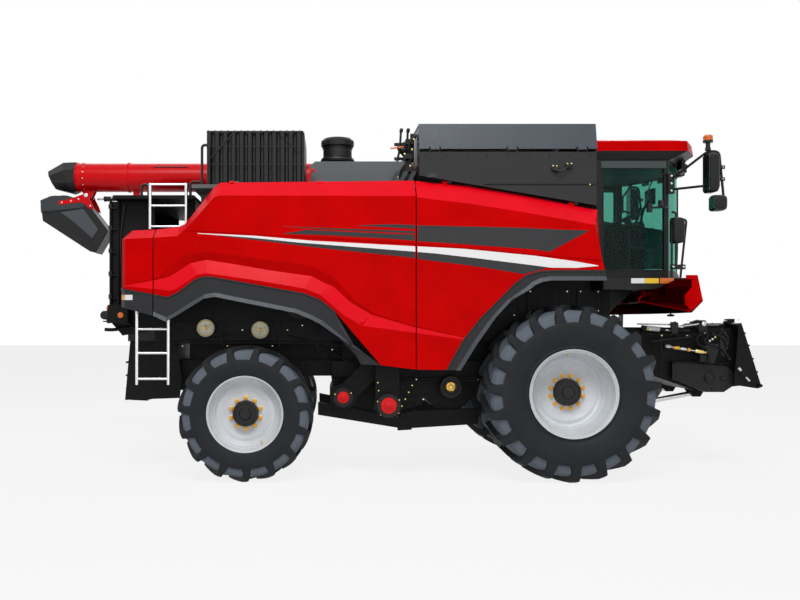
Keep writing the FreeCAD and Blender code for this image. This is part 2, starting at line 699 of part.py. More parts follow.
def tank_augers():
    """Cross auger in the hopper and the upright filling auger."""
    trough = rod((TANK_REAR + TANK_WALL + SEAT_GAP, 0, BODY_TOP + 210), (TANK_FRONT - 420, 0, BODY_TOP + 210), 36)
    flights = []
    pitch = 160.0
    x = TANK_REAR + 60
    while x < TANK_FRONT - 460:
        flights.append(rod((x, 0, BODY_TOP + 210), (x + 10, 0, BODY_TOP + 210), 120))
        x += pitch
    return fused([trough] + flights)


COVER_PIN = 6.0
COVER_KNUCKLE = 90.0
COVER_HINGE_SPOTS = [TANK_REAR + 120, (TANK_REAR + TANK_FRONT) / 2, TANK_FRONT - 200]


def tank_cover(side):
    """One roof half: steep flank up to the fold, then a gentle slope to the middle."""
    z0 = COVER_HINGE_Z
    top = TANK_TOP_Z
    eave = top - COVER_FOLD_DROP
    outline = [
        (TANK_HALF + COVER_HINGE_RADIUS, z0),
        (COVER_FOLD_Y + 8, eave),
        (6, top + 10),
        (6, top + 10 - COVER_SHEET),
        (COVER_FOLD_Y, eave - COVER_SHEET),
        (TANK_HALF - 14, z0),
    ]
    leaf = cross_slab([(side * y, z) for y, z in outline], TANK_REAR - 4, TANK_FRONT + 4)
    y = side * TANK_HALF
    notches = []
    knuckles = []
    for x in COVER_HINGE_SPOTS:
        knuckles.append(rod((x, y, z0), (x + COVER_KNUCKLE, y, z0), COVER_HINGE_RADIUS))
        notches.append(rod((x - 20, y, z0), (x + COVER_KNUCKLE + 20, y, z0), COVER_PIN + SEAT_GAP))
        for end in (x - 18, x + COVER_KNUCKLE + 2):
            notches.append(box(end, end + 16, y - 40, y + 40, z0 - 20, z0 + 24))
    return less(fused([leaf] + knuckles), notches)


def cover_hinges(side):
    """Pins and lugs on the tank's rim for one cover."""
    y = side * TANK_HALF
    z = COVER_HINGE_Z
    pieces = []
    for x in COVER_HINGE_SPOTS:
        pieces.append(rod((x - 12, y, z), (x + COVER_KNUCKLE + 12, y, z), COVER_PIN))
        for end in (x - 12, x + COVER_KNUCKLE + 4):
            pieces.append(box(end, end + 8, y - 10, y + 10, TANK_RIM_Z - 10, z + 8))
    return pieces


# ---------------------------------------------------------------- unloading auger
def auger_tube():
    """Swinging elbow and tube with joint rings, open at the mouth."""
    x, y, z = AUGER_PIVOT_X, AUGER_PIVOT_Y, AUGER_AXIS_Z
    foot = TURRET_TOP
    outer = [
        disc_z(x, y, AUGER_RADIUS, foot, z),
        Part.makeSphere(AUGER_RADIUS, V(x, y, z)),
        rod((x, y, z), (AUGER_TIP_X, y, z), AUGER_RADIUS),
    ]
    for ring_x in (AUGER_TIP_X + 100, AUGER_TIP_X + 700, -3700.0, -2300.0):
        outer.append(rod((ring_x, y, z), (ring_x - 14, y, z), AUGER_RADIUS + 10))
    collar = disc_z(x, y, AUGER_RADIUS + 12, foot, foot + 20)
    inner_radius = AUGER_RADIUS - AUGER_WALL
    bore = rod((AUGER_TIP_X + 700, y, z), (AUGER_TIP_X - 10, y, z), inner_radius)
    return fused(outer + [collar] + spout_hanger()).cut(bore)


TURRET_RADIUS = AUGER_RADIUS - 20
TURRET_TOP = AUGER_AXIS_Z - 400


def auger_turret():
    """Fixed upright tube from the body to the swinging elbow."""
    x, y = AUGER_PIVOT_X, AUGER_PIVOT_Y
    top = TURRET_TOP - SEAT_GAP
    tube = disc_z(x, y, TURRET_RADIUS, BODY_TOP + 60, top)
    collar = disc_z(x, y, AUGER_RADIUS + 12, top - 20, top)
    shelf = box(x - 60, x + 60, BODY_HALF - 60, y, BODY_TOP, BODY_TOP + 60)
    return fused([tube, collar, shelf])


BOOT_TIP_X = -6346.0
BOOT_CHIN_X = -6243.0


def auger_boot():
    """Faceted rubber elbow over the mouth, turning down above the spout."""
    y, z = AUGER_PIVOT_Y, AUGER_AXIS_Z
    r = AUGER_RADIUS + 4
    mouth = AUGER_TIP_X - SEAT_GAP
    stations = [
        (mouth, mouth, z + r, z - r, 1.0),
        (mouth - 170, mouth - 50, z + r - 6, z - r - 22, 1.0),
        (BOOT_TIP_X, BOOT_CHIN_X, z + 74, z - r + 36, 0.62),
    ]
    sections = []
    for x_top, x_low, z_top, z_low, breadth in stations:
        ring = []
        for k in range(8):
            turn = math.radians(22.5 + 45 * k)
            share = (1 + math.sin(turn) / math.cos(math.radians(22.5))) / 2
            across = r * breadth * math.cos(turn) / math.cos(math.radians(22.5))
            ring.append((x_low + share * (x_top - x_low), y + across, z_low + share * (z_top - z_low)))
        sections.append(ring)
    return loft(sections)


SPOUT_HINGE = (-5800.0, 3392.0)
SPOUT_HALF = 165.0
SPOUT_PIN = 12.0


def spout_hanger():
    """Two lugs under the tube and the pin that carries the spout."""
    x, z = SPOUT_HINGE
    y = AUGER_PIVOT_Y
    outline = [(x - 110, AUGER_AXIS_Z - AUGER_RADIUS + 30), (x + 90, AUGER_AXIS_Z - AUGER_RADIUS + 30), (x + 28, z - 28), (x - 28, z - 28)]
    lugs = [side_slab(outline, y + side * 52 - 7, y + side * 52 + 7) for side in (-1, 1)]
    return lugs + [disc_y(x, z, SPOUT_PIN, y - 62, y + 62)]


def spout():
    """Folding spout: faceted chute open at both ends, with its hinge arm."""
    y = AUGER_PIVOT_Y
    x, z = SPOUT_HINGE
    outline = [(-6410, 3328), (-6267, 3388), (-6056, 3395), (-5803, 3312), (-5508, 2923), (-5676, 2636), (-5751, 2653), (-6375, 3058)]
    outer = side_slab(outline, y - SPOUT_HALF, y + SPOUT_HALF)
    core_outline = [(-6394, 3316), (-6262, 3372), (-6060, 3379), (-5813, 3298), (-5586, 2917), (-5724, 2585), (-6364, 3040)]
    core = side_slab(core_outline, y - SPOUT_HALF + 14, y + SPOUT_HALF - 14)
    arm = side_slab([(-5985, 3362), (-5890, 3330), (x + 26, z - 10), (x + 10, z + 24), (x - 24, z + 20)], y - 40, y + 40)
    bore = disc_y(x, z, SPOUT_PIN + SEAT_GAP, y - 60, y + 60)
    return less(fused([outer.cut(core), arm]), [bore])


# ---------------------------------------------------------------- cab
ROOF_SIDE_DROP = 3560.0
ROOF_LIP_RISE = 95.0
ROOF_CROWN = 33.0


CAB_CEILING = 30.0
CAB_BROW = 40.0


def cab_outline(offset):
    """Plan of the cab: straight sides, pointed front drawn with eight chords."""
    half = CAB_HALF - offset
    steps = 8
    points = [(CAB_REAR + offset, -half)]
    for k in range(steps + 1):
        y = half * (2 * k / steps - 1)
        points.append((cab_front(y, offset), y))
    return points + [(CAB_REAR + offset, half)]


def cab_front(y, offset):
    """X of the cab's front at the cross position y."""
    share = min(abs(y) / (CAB_HALF - offset), 1.0)
    return CAB_POST_X + (CAB_NOSE_X - offset - CAB_POST_X) * (1 - share ** CAB_FRONT_POWER)


def cab_frame():
    """Cab body: floor pan, rear wall, sills, posts and header ring, hollow inside."""
    outer = plan_slab(cab_outline(0), CAB_FLOOR_Z + SEAT_GAP, CAB_GLASS_TOP)
    inner = plan_slab(cab_outline(CAB_POST), CAB_FLOOR_Z + 70, CAB_GLASS_TOP - CAB_CEILING)
    shell = outer.cut(inner)
    sill = CAB_FLOOR_Z + 110
    head = CAB_GLASS_TOP - 90
    side_window = box(CAB_REAR + 70, CAB_POST_X - 45, -CAB_HALF - 10, -CAB_HALF + 100, sill, head)
    door_gap = box(CAB_REAR + 70, CAB_POST_X - 45, CAB_HALF - 100, CAB_HALF + 10, CAB_FLOOR_Z + 70, head)
    front = box(CAB_POST_X + 15, CAB_NOSE_X + 100, -CAB_HALF - 10, CAB_HALF + 10, sill, CAB_GLASS_TOP - CAB_BROW)
    rear_window = box(CAB_REAR - 10, CAB_REAR + 100, -500, 500, CAB_FLOOR_Z + 700, head)
    body = less(shell, [side_window, door_gap, front, rear_window])
    return fused([body] + cab_door_hinges())


def windscreen():
    """Bowed one-piece front glass."""
    outer = plan_slab(cab_outline(10), CAB_FLOOR_Z + 110 + SEAT_GAP, CAB_GLASS_TOP - CAB_BROW - SEAT_GAP)
    inner = plan_slab(cab_outline(10 + GLASS), CAB_FLOOR_Z, CAB_GLASS_TOP)
    front = box(CAB_POST_X + 15 + SEAT_GAP, CAB_NOSE_X + 100, -CAB_HALF - 10, CAB_HALF + 10, 0, 5000)
    return outer.cut(inner).common(front)


def cab_windows():
    """Right side pane and rear pane."""
    side_pane = box(
        CAB_REAR + 70 + SEAT_GAP, CAB_POST_X - 45 - SEAT_GAP, -CAB_HALF + 8, -CAB_HALF + 8 + GLASS,
        CAB_FLOOR_Z + 110 + SEAT_GAP, CAB_GLASS_TOP - 90 - SEAT_GAP,
    )
    rear_pane = box(
        CAB_REAR + 8, CAB_REAR + 8 + GLASS, -500 + SEAT_GAP, 500 - SEAT_GAP,
        CAB_FLOOR_Z + 700 + SEAT_GAP, CAB_GLASS_TOP - 90 - SEAT_GAP,
    )
    return group([side_pane, rear_pane])


def cab_door():
    """Left door: narrow frame outside the posts, and its glass."""
    x0 = CAB_REAR + 40
    x1 = CAB_POST_X - 15
    y0 = CAB_HALF + RUNNING_GAP
    z0 = CAB_FLOOR_Z + 45
    z1 = CAB_GLASS_TOP - 60
    frame = box(x0, x1, y0, y0 + 34, z0, z1)
    light = box(x0 + 45, x1 - 45, y0 - 5, y0 + 40, z0 + 45, z1 - 45)
    pane = box(x0 + 45 + SEAT_GAP, x1 - 45 - SEAT_GAP, y0 + 10, y0 + 10 + GLASS, z0 + 45 + SEAT_GAP, z1 - 45 - SEAT_GAP)
    handle = box(x1 - 42, x1 - 8, y0 + 34, y0 + 62, z0 + 560, z0 + 720)
    knuckles = []
    bores = []
    for z in cab_hinge_heights():
        knuckles.append(disc_z(x0, y0 + 46, 12, z, z + 90))
        knuckles.append(box(x0 - 6, x0 + 30, y0 + 30, y0 + 42, z, z + 90))
        bores.append(disc_z(x0, y0 + 46, CAB_HINGE_PIN + SEAT_GAP, z - 10, z + 100))
    return less(fused([frame.cut(light), handle] + knuckles), bores), pane


def cab_hinge_heights():
    return CAB_FLOOR_Z + 195, CAB_GLASS_TOP - 310


def cab_door_hinges():
    """Pins of the door hinges, on arms from the rear post."""
    x = CAB_REAR + 40
    y = CAB_HALF + RUNNING_GAP + 46
    pieces = []
    for z in cab_hinge_heights():
        pieces.append(disc_z(x, y, CAB_HINGE_PIN, z - 18, z + 94))
        pieces.append(box(x - 34, x - RUNNING_GAP, CAB_HALF - 10, y + 6, z - 22, z - 4))
        pieces.append(box(x - 34, x + 6, y - 6, y + 6, z - 22, z - 4))
    return pieces


def cab_roof():
    """Red roof shell with a front visor that overhangs the windscreen."""
    def ring(z, grow, front, corner, cheek):
        half = CAB_HALF + grow
        nose = CAB_NOSE_X + front
        side = CAB_POST_X + corner
        brow = 0.62 * half
        return [
            (CAB_REAR - 10, -half, z), (side, -half, z), (nose - cheek, -brow, z), (nose, 0, z),
            (nose - cheek, brow, z), (side, half, z), (CAB_REAR - 10, half, z),
        ]
    base = ring(CAB_GLASS_TOP + SEAT_GAP, -8, 4, 14, 170)
    lip = ring(CAB_GLASS_TOP + ROOF_LIP_RISE, 60, 50, 200, 60)
    brim = ring(CAB_ROOF_TOP - ROOF_CROWN, 52, 35, 190, 60)
    crown = ring(CAB_ROOF_TOP, -60, -110, 60, 90)
    return fused([loft([base, lip]), loft([lip, brim]), loft([brim, crown])])


LAMP_DEPTH = 42.0
LAMP_HALF = 70.0


def work_lights():
    """Six lamps under the visor, following the curve of the windscreen."""
    lamps = []
    for y in (-560, -330, -110, 110, 330, 560):
        x = cab_front(abs(y) - LAMP_HALF, 0) + 8
        lamps.append(box(x, x + LAMP_DEPTH, y - LAMP_HALF, y + LAMP_HALF, CAB_GLASS_TOP - 62, CAB_GLASS_TOP + 40))
    keep_out = cab_roof().translated(V(0, 0, -SEAT_GAP))
    return group([lamp.cut(keep_out) for lamp in lamps])


def seat():
    """Driver's seat on a pedestal with its armrest."""
    x = 800.0
    base = CAB_FLOOR_Z + 70
    rise = 265.0
    pedestal = box(x - 180, x + 180, -200, 200, base, base + rise)
    base = base + rise - 330
    cushion = box(x - 240, x + 260, -250, 250, base + 330, base + 460)
    back = side_slab([(x - 250, base + 460), (x - 120, base + 460), (x - 200, base + 1080), (x - 300, base + 1080)], -240, 240)
    headrest = side_slab([(x - 300, base + 1110), (x - 210, base + 1110), (x - 230, base + 1250), (x - 300, base + 1250)], -130, 130)
    stalks = box(x - 275, x - 255, -60, 60, base + 1075, base + 1115)
    armrest = box(x - 220, x + 220, -340, -262, base + 600, base + 650)
    post = box(x - 250, x - 190, -340, -230, base + 520, base + 610)
    return fused([pedestal, cushion, back, headrest, stalks, armrest, post])


def steering_column():
    """Column, boss and wheel."""
    base = CAB_FLOOR_Z + 70
    foot = V(1230, 0, base)
    top = V(1075, 0, base + 690)
    column = rod(tuple(foot), tuple(top), 45).cut(box(1030, 1430, -200, 200, base - 100, base))
    axis = (top - foot).normalize()
    ring = Part.makeTorus(190, 15, top, axis)
    boss = Part.makeCylinder(55, 40, top - axis * 20, axis)
    side = V(0, 1, 0)
    spokes = []
    for k in range(3):
        a = math.radians(90 + 120 * k)
        cross = axis.cross(side)
        out = cross * math.cos(a) + side * math.sin(a)
        spokes.append(Part.makeCylinder(11, 190, top, out))
    return fused([column, ring, boss] + spokes)


def console():
    """Side console with the monitor arm."""
    base = CAB_FLOOR_Z + 70
    body = box(560, 1020, -700, -420, base, base + 560)
    post = rod((1000, -560, base + 540), (1120, -640, base + 830), 18)
    screen = box(1090, 1130, -760, -500, base + 800, base + 980)
    return fused([body, post, screen])


# ---------------------------------------------------------------- platform and front


def platform():
    """Floor frame under the cab, with side steps and cross members on the body."""
    z1 = CAB_FLOOR_Z
    z0 = z1 - PLATFORM_DEPTH
    slab = box(PLATFORM_REAR, PLATFORM_FRONT, -PLATFORM_HALF, PLATFORM_HALF, z0, z1)
    nose = plan_slab([(PLATFORM_FRONT, -800), (CAB_NOSE_X - 60, -300), (CAB_NOSE_X - 60, 300), (PLATFORM_FRONT, 800)], z0, z1)
    braces = []
    x = FRAME_FRONT_X + SEAT_GAP
    for y in (-BODY_HALF + 10, BODY_HALF - 110):
        braces.append(side_slab([(x, z0), (x + 260, z0), (x, z0 - 240)], y, y + 100))
    return fused([slab, nose] + braces + entry_ladder_top())


def nose_panel():
    """Red fascia round the front of the platform, sloping back underneath."""
    def section(x, y):
        return [(x - 150, y, 2222), (x, y, 2222), (x + 55, y, 1955), (x - 75, y, 1822), (x - 640, y, 1935), (x - 640, y, 1975)]
    stations = [(1405, -1220), (1660, -640), (1720, 0), (1660, 640), (1405, 1220)]
    outer = []
    for k in range(4):
        a = polygon(section(*stations[k]))
        b = polygon(section(*stations[k + 1]))
        outer.append(Part.makeLoft([a, b], True, True))
    solid = fused(outer)
    ends = [(1410, -1208)] + stations[1:4] + [(1410, 1208)]
    core = []
    for k in range(4):
        pair = []
        for x, y in (ends[k], ends[k + 1]):
            pair.append(polygon([
                (x - 200, y, 2400), (x - 18, y, 2400), (x - 18, y, 2205), (x + 34, y, 1962),
                (x - 82, y, 1844), (x - 700, y, 1968), (x - 700, y, 2400),
            ]))
        core.append(Part.makeLoft(pair, True, True))
    stays = [box(880, 920, y - 20, y + 20, 1942, CAB_FLOOR_Z - PLATFORM_DEPTH - SEAT_GAP) for y in (-1000, 1000)]
    floor = box(PLATFORM_REAR - 20, PLATFORM_FRONT + RUNNING_GAP, -1300, 1300, CAB_FLOOR_Z - PLATFORM_DEPTH - RUNNING_GAP, 2400)
    return fused([less(solid, core + [floor])] + stays)


def platform_rails():
    """Hoops at the platform's front corners; the left one stands clear of the door."""
    z = CAB_FLOOR_Z
    pieces = []
    for side, x, width in ((-1, 1130, 95), (1, 1217, 38)):
        y = side * (PLATFORM_HALF - 30)
        path = [(x, y, z), (x + 5, y, z + 570), (x + width + 70, y, z + 660), (x + width, y, z)]
        floor = box(x - 50, x + 250, y - 50, y + 50, z - 50, z)
        pieces.append(bent_tube(path, 12, 30).cut(floor))
    return group(pieces)


MIRROR_ARM_Z = 3325.0


def mirror_arm(side):
    """Mirror carrier on the cab post, with the large and the small mirror."""
    y0 = side * (CAB_HALF + 30)
    y1 = side * 1210
    top = MIRROR_ARM_Z
    arms = [
        rod((1290, y0, top), (1520, y1, top + 240), 14),
        rod((1290, y0, top - 120), (1540, y1, top - 130), 14),
        rod((1520, y1, top + 240), (1640, y1, top + 230), 14),
        rod((1640, y1, top + 230), (1700, y1, top - 330), 14),
        rod((1540, y1, top - 130), (1668, y1, top - 50), 14),
        Part.makeSphere(14, V(1520, y1, top + 240)),
        Part.makeSphere(14, V(1640, y1, top + 230)),
    ]
    root = side * (CAB_HALF - 120)
    bracket = box(1235, 1305, min(y0, root), max(y0, root), top - 160, top + 60)
    bracket = bracket.cut(plan_slab(cab_outline(-SEAT_GAP), top - 200, top + 100))
    big = box(1520, 1600, y1 - 95, y1 + 95, top - 200, top + 190)
    small = box(1600, 1672, y1 - 85, y1 + 85, top - 400, top - 250)
    stem = disc_z(1520, y1, 26, top + 240, top + 330)
    clamps = [rod((1560, y1, z), (1665, y1, z), 11) for z in (top + 60, top - 60)]
    clamps.append(rod((1640, y1, top - 310), (1695, y1, top - 310), 11))
    return fused(arms + [bracket, big, small, stem] + clamps)


def beacons():
    lamps = []
    for side in (-1, 1):
        y = side * 1210
        base = MIRROR_ARM_Z + 330 + SEAT_GAP
        lamps.append(fused([disc_z(1520, y, 52, base, base + 25), disc_z(1520, y, 45, base + 25, base + 90)]))
    return group(lamps)


# ---------------------------------------------------------------- feeder and header frame
LEAN = math.radians(HEADER_LEAN)
FACE_TOP = (2100.0, 1703.0)
FRAME_THICK = 50.0
FRAME_HEIGHT = 765.0
FRAME_GAP = 8.0
TILT_PIN_DROP = 24.0
TILT_PIN_RADIUS = 25.0
LIFT_FOOT = (250.0, 600.0)
LIFT_EYE = (1720.0, 885.0)
LIFT_Y = 400.0
LIFT_PIN_RADIUS = 22.0
LIFT_EYE_GAP = 5.0
LIFT_ROD_RADIUS = 29.0


def face_point(depth, drop):
    """Point at depth ahead of the header face and drop below its top, in X and Z."""
    x = FACE_TOP[0] + depth * math.cos(LEAN) + drop * math.sin(LEAN)
    z = FACE_TOP[1] + depth * math.sin(LEAN) - drop * math.cos(LEAN)
    return (x, z)


FEEDER_FRONT = -FRAME_THICK - FRAME_GAP
FEEDER_SHELL_RADIUS = 225.0
FEEDER_FLOOR = (1640.0, 925.0)


def feeder_outline(offset, reach):
    """Side outline of the feeder house, offset inward and stretched forward by reach."""
    top = FEEDER_PIVOT_Z + FEEDER_SHELL_RADIUS - offset
    back = FEEDER_PIVOT_X - 80 - 0.35 * offset
    top_x, top_z = face_point(FEEDER_FRONT, 40)
    low_x, low_z = face_point(FEEDER_FRONT, 730)
    floor_x, floor_z = FEEDER_FLOOR
    rise = (low_z - floor_z) / (low_x - floor_x)
    return [
        (FEEDER_PIVOT_X, top),
        (top_x + reach, top_z - offset),
        (low_x + reach, low_z + offset + rise * reach),
        (floor_x, floor_z + offset),
        (back, FEEDER_PIVOT_Z - 210 + offset),
        (back, FEEDER_PIVOT_Z),
    ]


def feeder_house():
    """Hollow throat from the header to the drum, swinging on its top shaft."""
    half = FEEDER_HALF
    body = side_slab(feeder_outline(0, 0), -half, half)
    crown = disc_y(FEEDER_PIVOT_X, FEEDER_PIVOT_Z, FEEDER_SHELL_RADIUS, -half, half)
    inner = side_slab(feeder_outline(FEEDER_WALL, 80), -half + FEEDER_WALL, half - FEEDER_WALL)
    inner_crown = disc_y(FEEDER_PIVOT_X, FEEDER_PIVOT_Z, FEEDER_SHELL_RADIUS - FEEDER_WALL, -half + FEEDER_WALL, half - FEEDER_WALL)
    back_mouth = box(
        FEEDER_PIVOT_X - 240, FEEDER_PIVOT_X - 100, -half + FEEDER_WALL, half - FEEDER_WALL,
        FEEDER_PIVOT_Z - 190, FEEDER_PIVOT_Z + 120,
    )
    shell = less(fused([body, crown]), [inner, inner_crown, back_mouth])
    shaft = disc_y(FEEDER_PIVOT_X, FEEDER_PIVOT_Z, FEEDER_SHAFT_RADIUS, -FRONT_RAIL_Y - RAIL_WIDTH - 20, FRONT_RAIL_Y + RAIL_WIDTH + 20)
    beam_outline = [
        face_point(FEEDER_FRONT - 90, -14), face_point(FEEDER_FRONT - 2, -14),
        face_point(FEEDER_FRONT - 2, 49), face_point(FEEDER_FRONT - 90, 62),
    ]
    beam = side_slab(beam_outline, -480, 480)
    a = face_point(FEEDER_FRONT - 20, TILT_PIN_DROP)
    b = face_point(14, TILT_PIN_DROP)
    pin = rod((a[0], 0, a[1]), (b[0], 0, b[1]), TILT_PIN_RADIUS)
    brackets = []
    for side in (-1, 1):
        for inner_side in (-1, 1):
            y = side * LIFT_Y + inner_side * 45
            x, z = LIFT_EYE
            outline = [(x - 110, 940), (x + 110, 945), (x + 45, z - 45), (x - 45, z - 45)]
            brackets.append(side_slab(outline, y - 10, y + 10))
        brackets.append(disc_y(LIFT_EYE[0], LIFT_EYE[1], LIFT_PIN_RADIUS, side * LIFT_Y - 60, side * LIFT_Y + 60))
    ribs = []
    for side in (-1, 1):
        y0, y1 = sorted((side * half, side * (half + 24)))
        ribs.append(side_slab([(1020, 1630), (2030, 1632), (2036, 1590), (1020, 1588)], y0, y1))
    return fused([shell, shaft, beam, pin] + brackets + ribs)


def feeder_conveyor():
    """Front drum, chains and slats of the conveyor inside the throat."""
    half = FEEDER_HALF - FEEDER_WALL - 20
    x, z = face_point(FEEDER_FRONT - 230, 400)
    drum_radius = 120.0
    slat_radius = 16.0
    offset = drum_radius + 8
    drum = disc_y(x, z, drum_radius, -half - 20 + SEAT_GAP, half + 20 - SEAT_GAP)
    heading = V(FEEDER_PIVOT_X + 40 - x, 0, FEEDER_PIVOT_Z - z)
    run = 0.82 * heading.Length
    heading.normalize()
    normal = V(-heading.z, 0, heading.x)
    pieces = [drum]
    for side in (-1, 1):
        start = V(x, 0, z) + normal * (side * offset)
        for k in range(5):
            p = start + heading * (run * (k + 0.5) / 5)
            pieces.append(disc_y(p.x, p.z, slat_radius, -half, half))
        for y in (-half + 60, 0, half - 60):
            across = [start + normal * 12, start + heading * run + normal * 12, start + heading * run - normal * 12, start - normal * 12]
            pieces.append(side_slab([(p.x, p.z) for p in across], y - 15, y + 15))
    return fused(pieces)


def feeder_drive_cover():
    """Chain case on the right flank of the feeder, with two inspection knobs."""
    outline = [
        (1346, 1267), (1430, 1255), (1970, 1209), (2050, 1129), (2039, 980),
        (1935, 911), (1729, 911), (1430, 1031), (1346, 1060),
    ]
    y0 = -FEEDER_HALF - 80
    case = side_slab(outline, y0, -FEEDER_HALF)
    knob = disc_y(1790, 1075, 42, y0 - 16, y0)
    small = disc_y(1950, 1075, 26, y0 - 12, y0)
    return fused([case, knob, small])


def header_frame():
    """Tilting frame that carries the header: ring, top hooks, side gussets, latch pins."""
    def plate(half, drop0, drop1, depth0, depth1):
        outline = [face_point(depth0, drop0), face_point(depth1, drop0), face_point(depth1, drop1), face_point(depth0, drop1)]
        return side_slab(outline, -half, half)
    ring = plate(HEADER_HALF, 0, FRAME_HEIGHT, -FRAME_THICK, 0)
    window = plate(FEEDER_HALF - 20, 75, FRAME_HEIGHT - 55, -FRAME_THICK - 10, 10)
    a = face_point(-FRAME_THICK - 10, TILT_PIN_DROP)
    b = face_point(20, TILT_PIN_DROP)
    bore = rod((a[0], 0, a[1]), (b[0], 0, b[1]), TILT_PIN_RADIUS + SEAT_GAP)
    pieces = []
    for side in (-1, 1):
        y0, y1 = sorted((side * HEADER_HALF, side * (HEADER_HALF - 14)))
        gusset = [
            face_point(-FRAME_THICK + 4, 30), face_point(-FRAME_THICK + 4, FRAME_HEIGHT),
            (2013, 998), face_point(-FRAME_THICK - 60, 200),
        ]
        pieces.append(side_slab(gusset, y0, y1))
        hook_outline = [
            face_point(-FRAME_THICK, 6), face_point(-FRAME_THICK, -34), face_point(40, -34), face_point(40, 4),
            face_point(18, 4), face_point(18, -12), face_point(0, -12), face_point(0, 6),
        ]
        h0, h1 = sorted((side * 420, side * 520))
        pieces.append(side_slab(hook_outline, h0, h1))
        px, pz = face_point(-FRAME_THICK / 2, FRAME_HEIGHT - 30)
        p0, p1 = sorted((side * (HEADER_HALF - 10), side * (HEADER_HALF + 55)))
        pieces.append(disc_y(px, pz, 17.5, p0, p1))
    return less(fused([ring] + pieces), [window, bore])


def lift_direction():
    dx = LIFT_EYE[0] - LIFT_FOOT[0]
    dz = LIFT_EYE[1] - LIFT_FOOT[1]
    length = math.hypot(dx, dz)
    return dx / length, dz / length, length


def lift_barrel():
    ux, uz, length = lift_direction()
    x, z = LIFT_FOOT
    y = -LIFT_Y
    reach = 0.56 * length
    eye = disc_y(x, z, 46, y - 28, y + 28)
    neck = rod((x, y, z), (x + 90 * ux, y, z + 90 * uz), 27)
    tube = rod((x + 80 * ux, y, z + 80 * uz), (x + reach * ux, y, z + reach * uz), 50)
    head = rod((x + (reach - 60) * ux, y, z + (reach - 60) * uz), (x + reach * ux, y, z + reach * uz), 58)
    pin_bore = disc_y(x, z, LIFT_PIN_RADIUS + SEAT_GAP, y - 40, y + 40)
    bore = rod((x + 110 * ux, y, z + 110 * uz), (x + (reach + 5) * ux, y, z + (reach + 5) * uz), LIFT_ROD_RADIUS + 0.5)
    return less(fused([eye, neck, tube, head]), [pin_bore, bore])


def lift_rod():
    ux, uz, length = lift_direction()
    x, z = LIFT_EYE
    y = -LIFT_Y
    bar = rod((x - 0.68 * length * ux, y, z - 0.68 * length * uz), (x - 30 * ux, y, z - 30 * uz), LIFT_ROD_RADIUS)
    eye = disc_y(x, z, LIFT_PIN_RADIUS + LIFT_EYE_GAP + 18, y - 30, y + 30)
    bore = disc_y(x, z, LIFT_PIN_RADIUS + LIFT_EYE_GAP, y - 40, y + 40)
    return fused([bar, eye]).cut(bore)


def lift_mounts():
    """Clevises under the drive axle for the lift cylinders."""
    pieces = []
    x, z = LIFT_FOOT
    beam_foot = RAIL_BOTTOM - 20 - 240
    for side in (-1, 1):
        for inner_side in (-1, 1):
            y = side * LIFT_Y + inner_side * 44
            outline = [(-110, beam_foot), (118, beam_foot), (x + 55, z + 20), (x + 40, z - 50), (x - 50, z - 50)]
            pieces.append(side_slab(outline, y - 12, y + 12))
        pieces.append(disc_y(x, z, LIFT_PIN_RADIUS, side * LIFT_Y - 62, side * LIFT_Y + 62))
    return pieces


# ---------------------------------------------------------------- side panels
REAR_FOOT = [
    (PANEL_REAR, 2008), (-4300, 1978), (-4191, 2030), (-4010, 2168), (-3904, 2200), (-3798, 2190),
    (-2850, 2018), (-2679, 1951), (-2535, 1836), (-2035, 1252),
]
HITCH_PIN = 16.5

ARCH_EDGE = [
    (PANEL_REAR, 1778), (-4319, 1716), (-4200, 1782), (-3990, 1912), (-3912, 1960), (-3798, 1979),
    (-2944, 1808), (-2811, 1754), (-2691, 1696), (-2250, 1262),
]
FRONT_ARCH = [
    (-238, 2264), (-373, 2250), (-509, 2203), (-617, 2122), (-790, 1945), (-977, 1759), (-1164, 1525), (-1345, 1202),
]
FRONT_EDGE = [
    (-238, 2152), (-330, 2135), (-400, 2105), (-468, 2052), (-650, 1945), (-821, 1759), (-1008, 1494), (-1194, 1198),
]
NOSE_OF_ARCH = (352, 2264)
NOSE_OF_EDGE = (358, 2152)
TRIM_BACK = 24.0
TRIM_STANDS = 5.0
LIP_STANDS = 12.0
LIP_BREADTH = 18.0
FLARE_STANDS = 28.0
FLARE_BREADTH = 45.0
# Crest, valley and foot of the long moulding, with its depth, from the tail forward.
MOULDING = [
    ((-4780, 2099), (-4780, 2094), (-4780, 2086), 1.0),
    ((-4404, 2185), (-4404, 2165), (-4404, 2052), 14.0),
    ((-4300, 2280), (-4291, 2190), (-4276, 2037), 26.0),
    ((-4200, 2370), (-4190, 2256), (-4215, 2056), 36.0),
    ((-4064, 2445), (-4064, 2339), (-3989, 2207), 42.0),
    ((-3894, 2457), (-3894, 2374), (-3894, 2226), 44.0),
    ((-3608, 2425), (-3608, 2330), (-3608, 2189), 44.0),
    ((-3229, 2368), (-3229, 2264), (-3229, 2131), 44.0),
    ((-2800, 2317), (-2768, 2200), (-2850, 2064), 44.0),
    ((-2612, 2232), (-2640, 2130), (-2683, 1999), 42.0),
    ((-2500, 2150), (-2540, 2090), (-2580, 1909), 38.0),
    ((-2317, 1945), (-2370, 1930), (-2428, 1776), 30.0),
    ((-2114, 1805), (-2140, 1795), (-2237, 1665), 22.0),
    ((-1694, 1673), (-1694, 1661), (-1694, 1595), 12.0),
    ((-1100, 1535), (-1100, 1530), (-1100, 1512), 1.0),
]
# Upper crease of the doors, with its depth.
CREASE = [((-4071, 2687), 8.0), ((-1728, 2549), 10.0), ((332, 2366), 10.0)]
CREASE_FADE = 90.0
FRONT_HINGE_X = (-1400.0, 150.0)
FRONT_HINGE_DROP = 18.0
REAR_HINGE_Z = 3222.0
REAR_HINGE_Y = PANEL_BACK_Y - 15
FRONT_HINGE_Y = PANEL_BACK_Y + 12


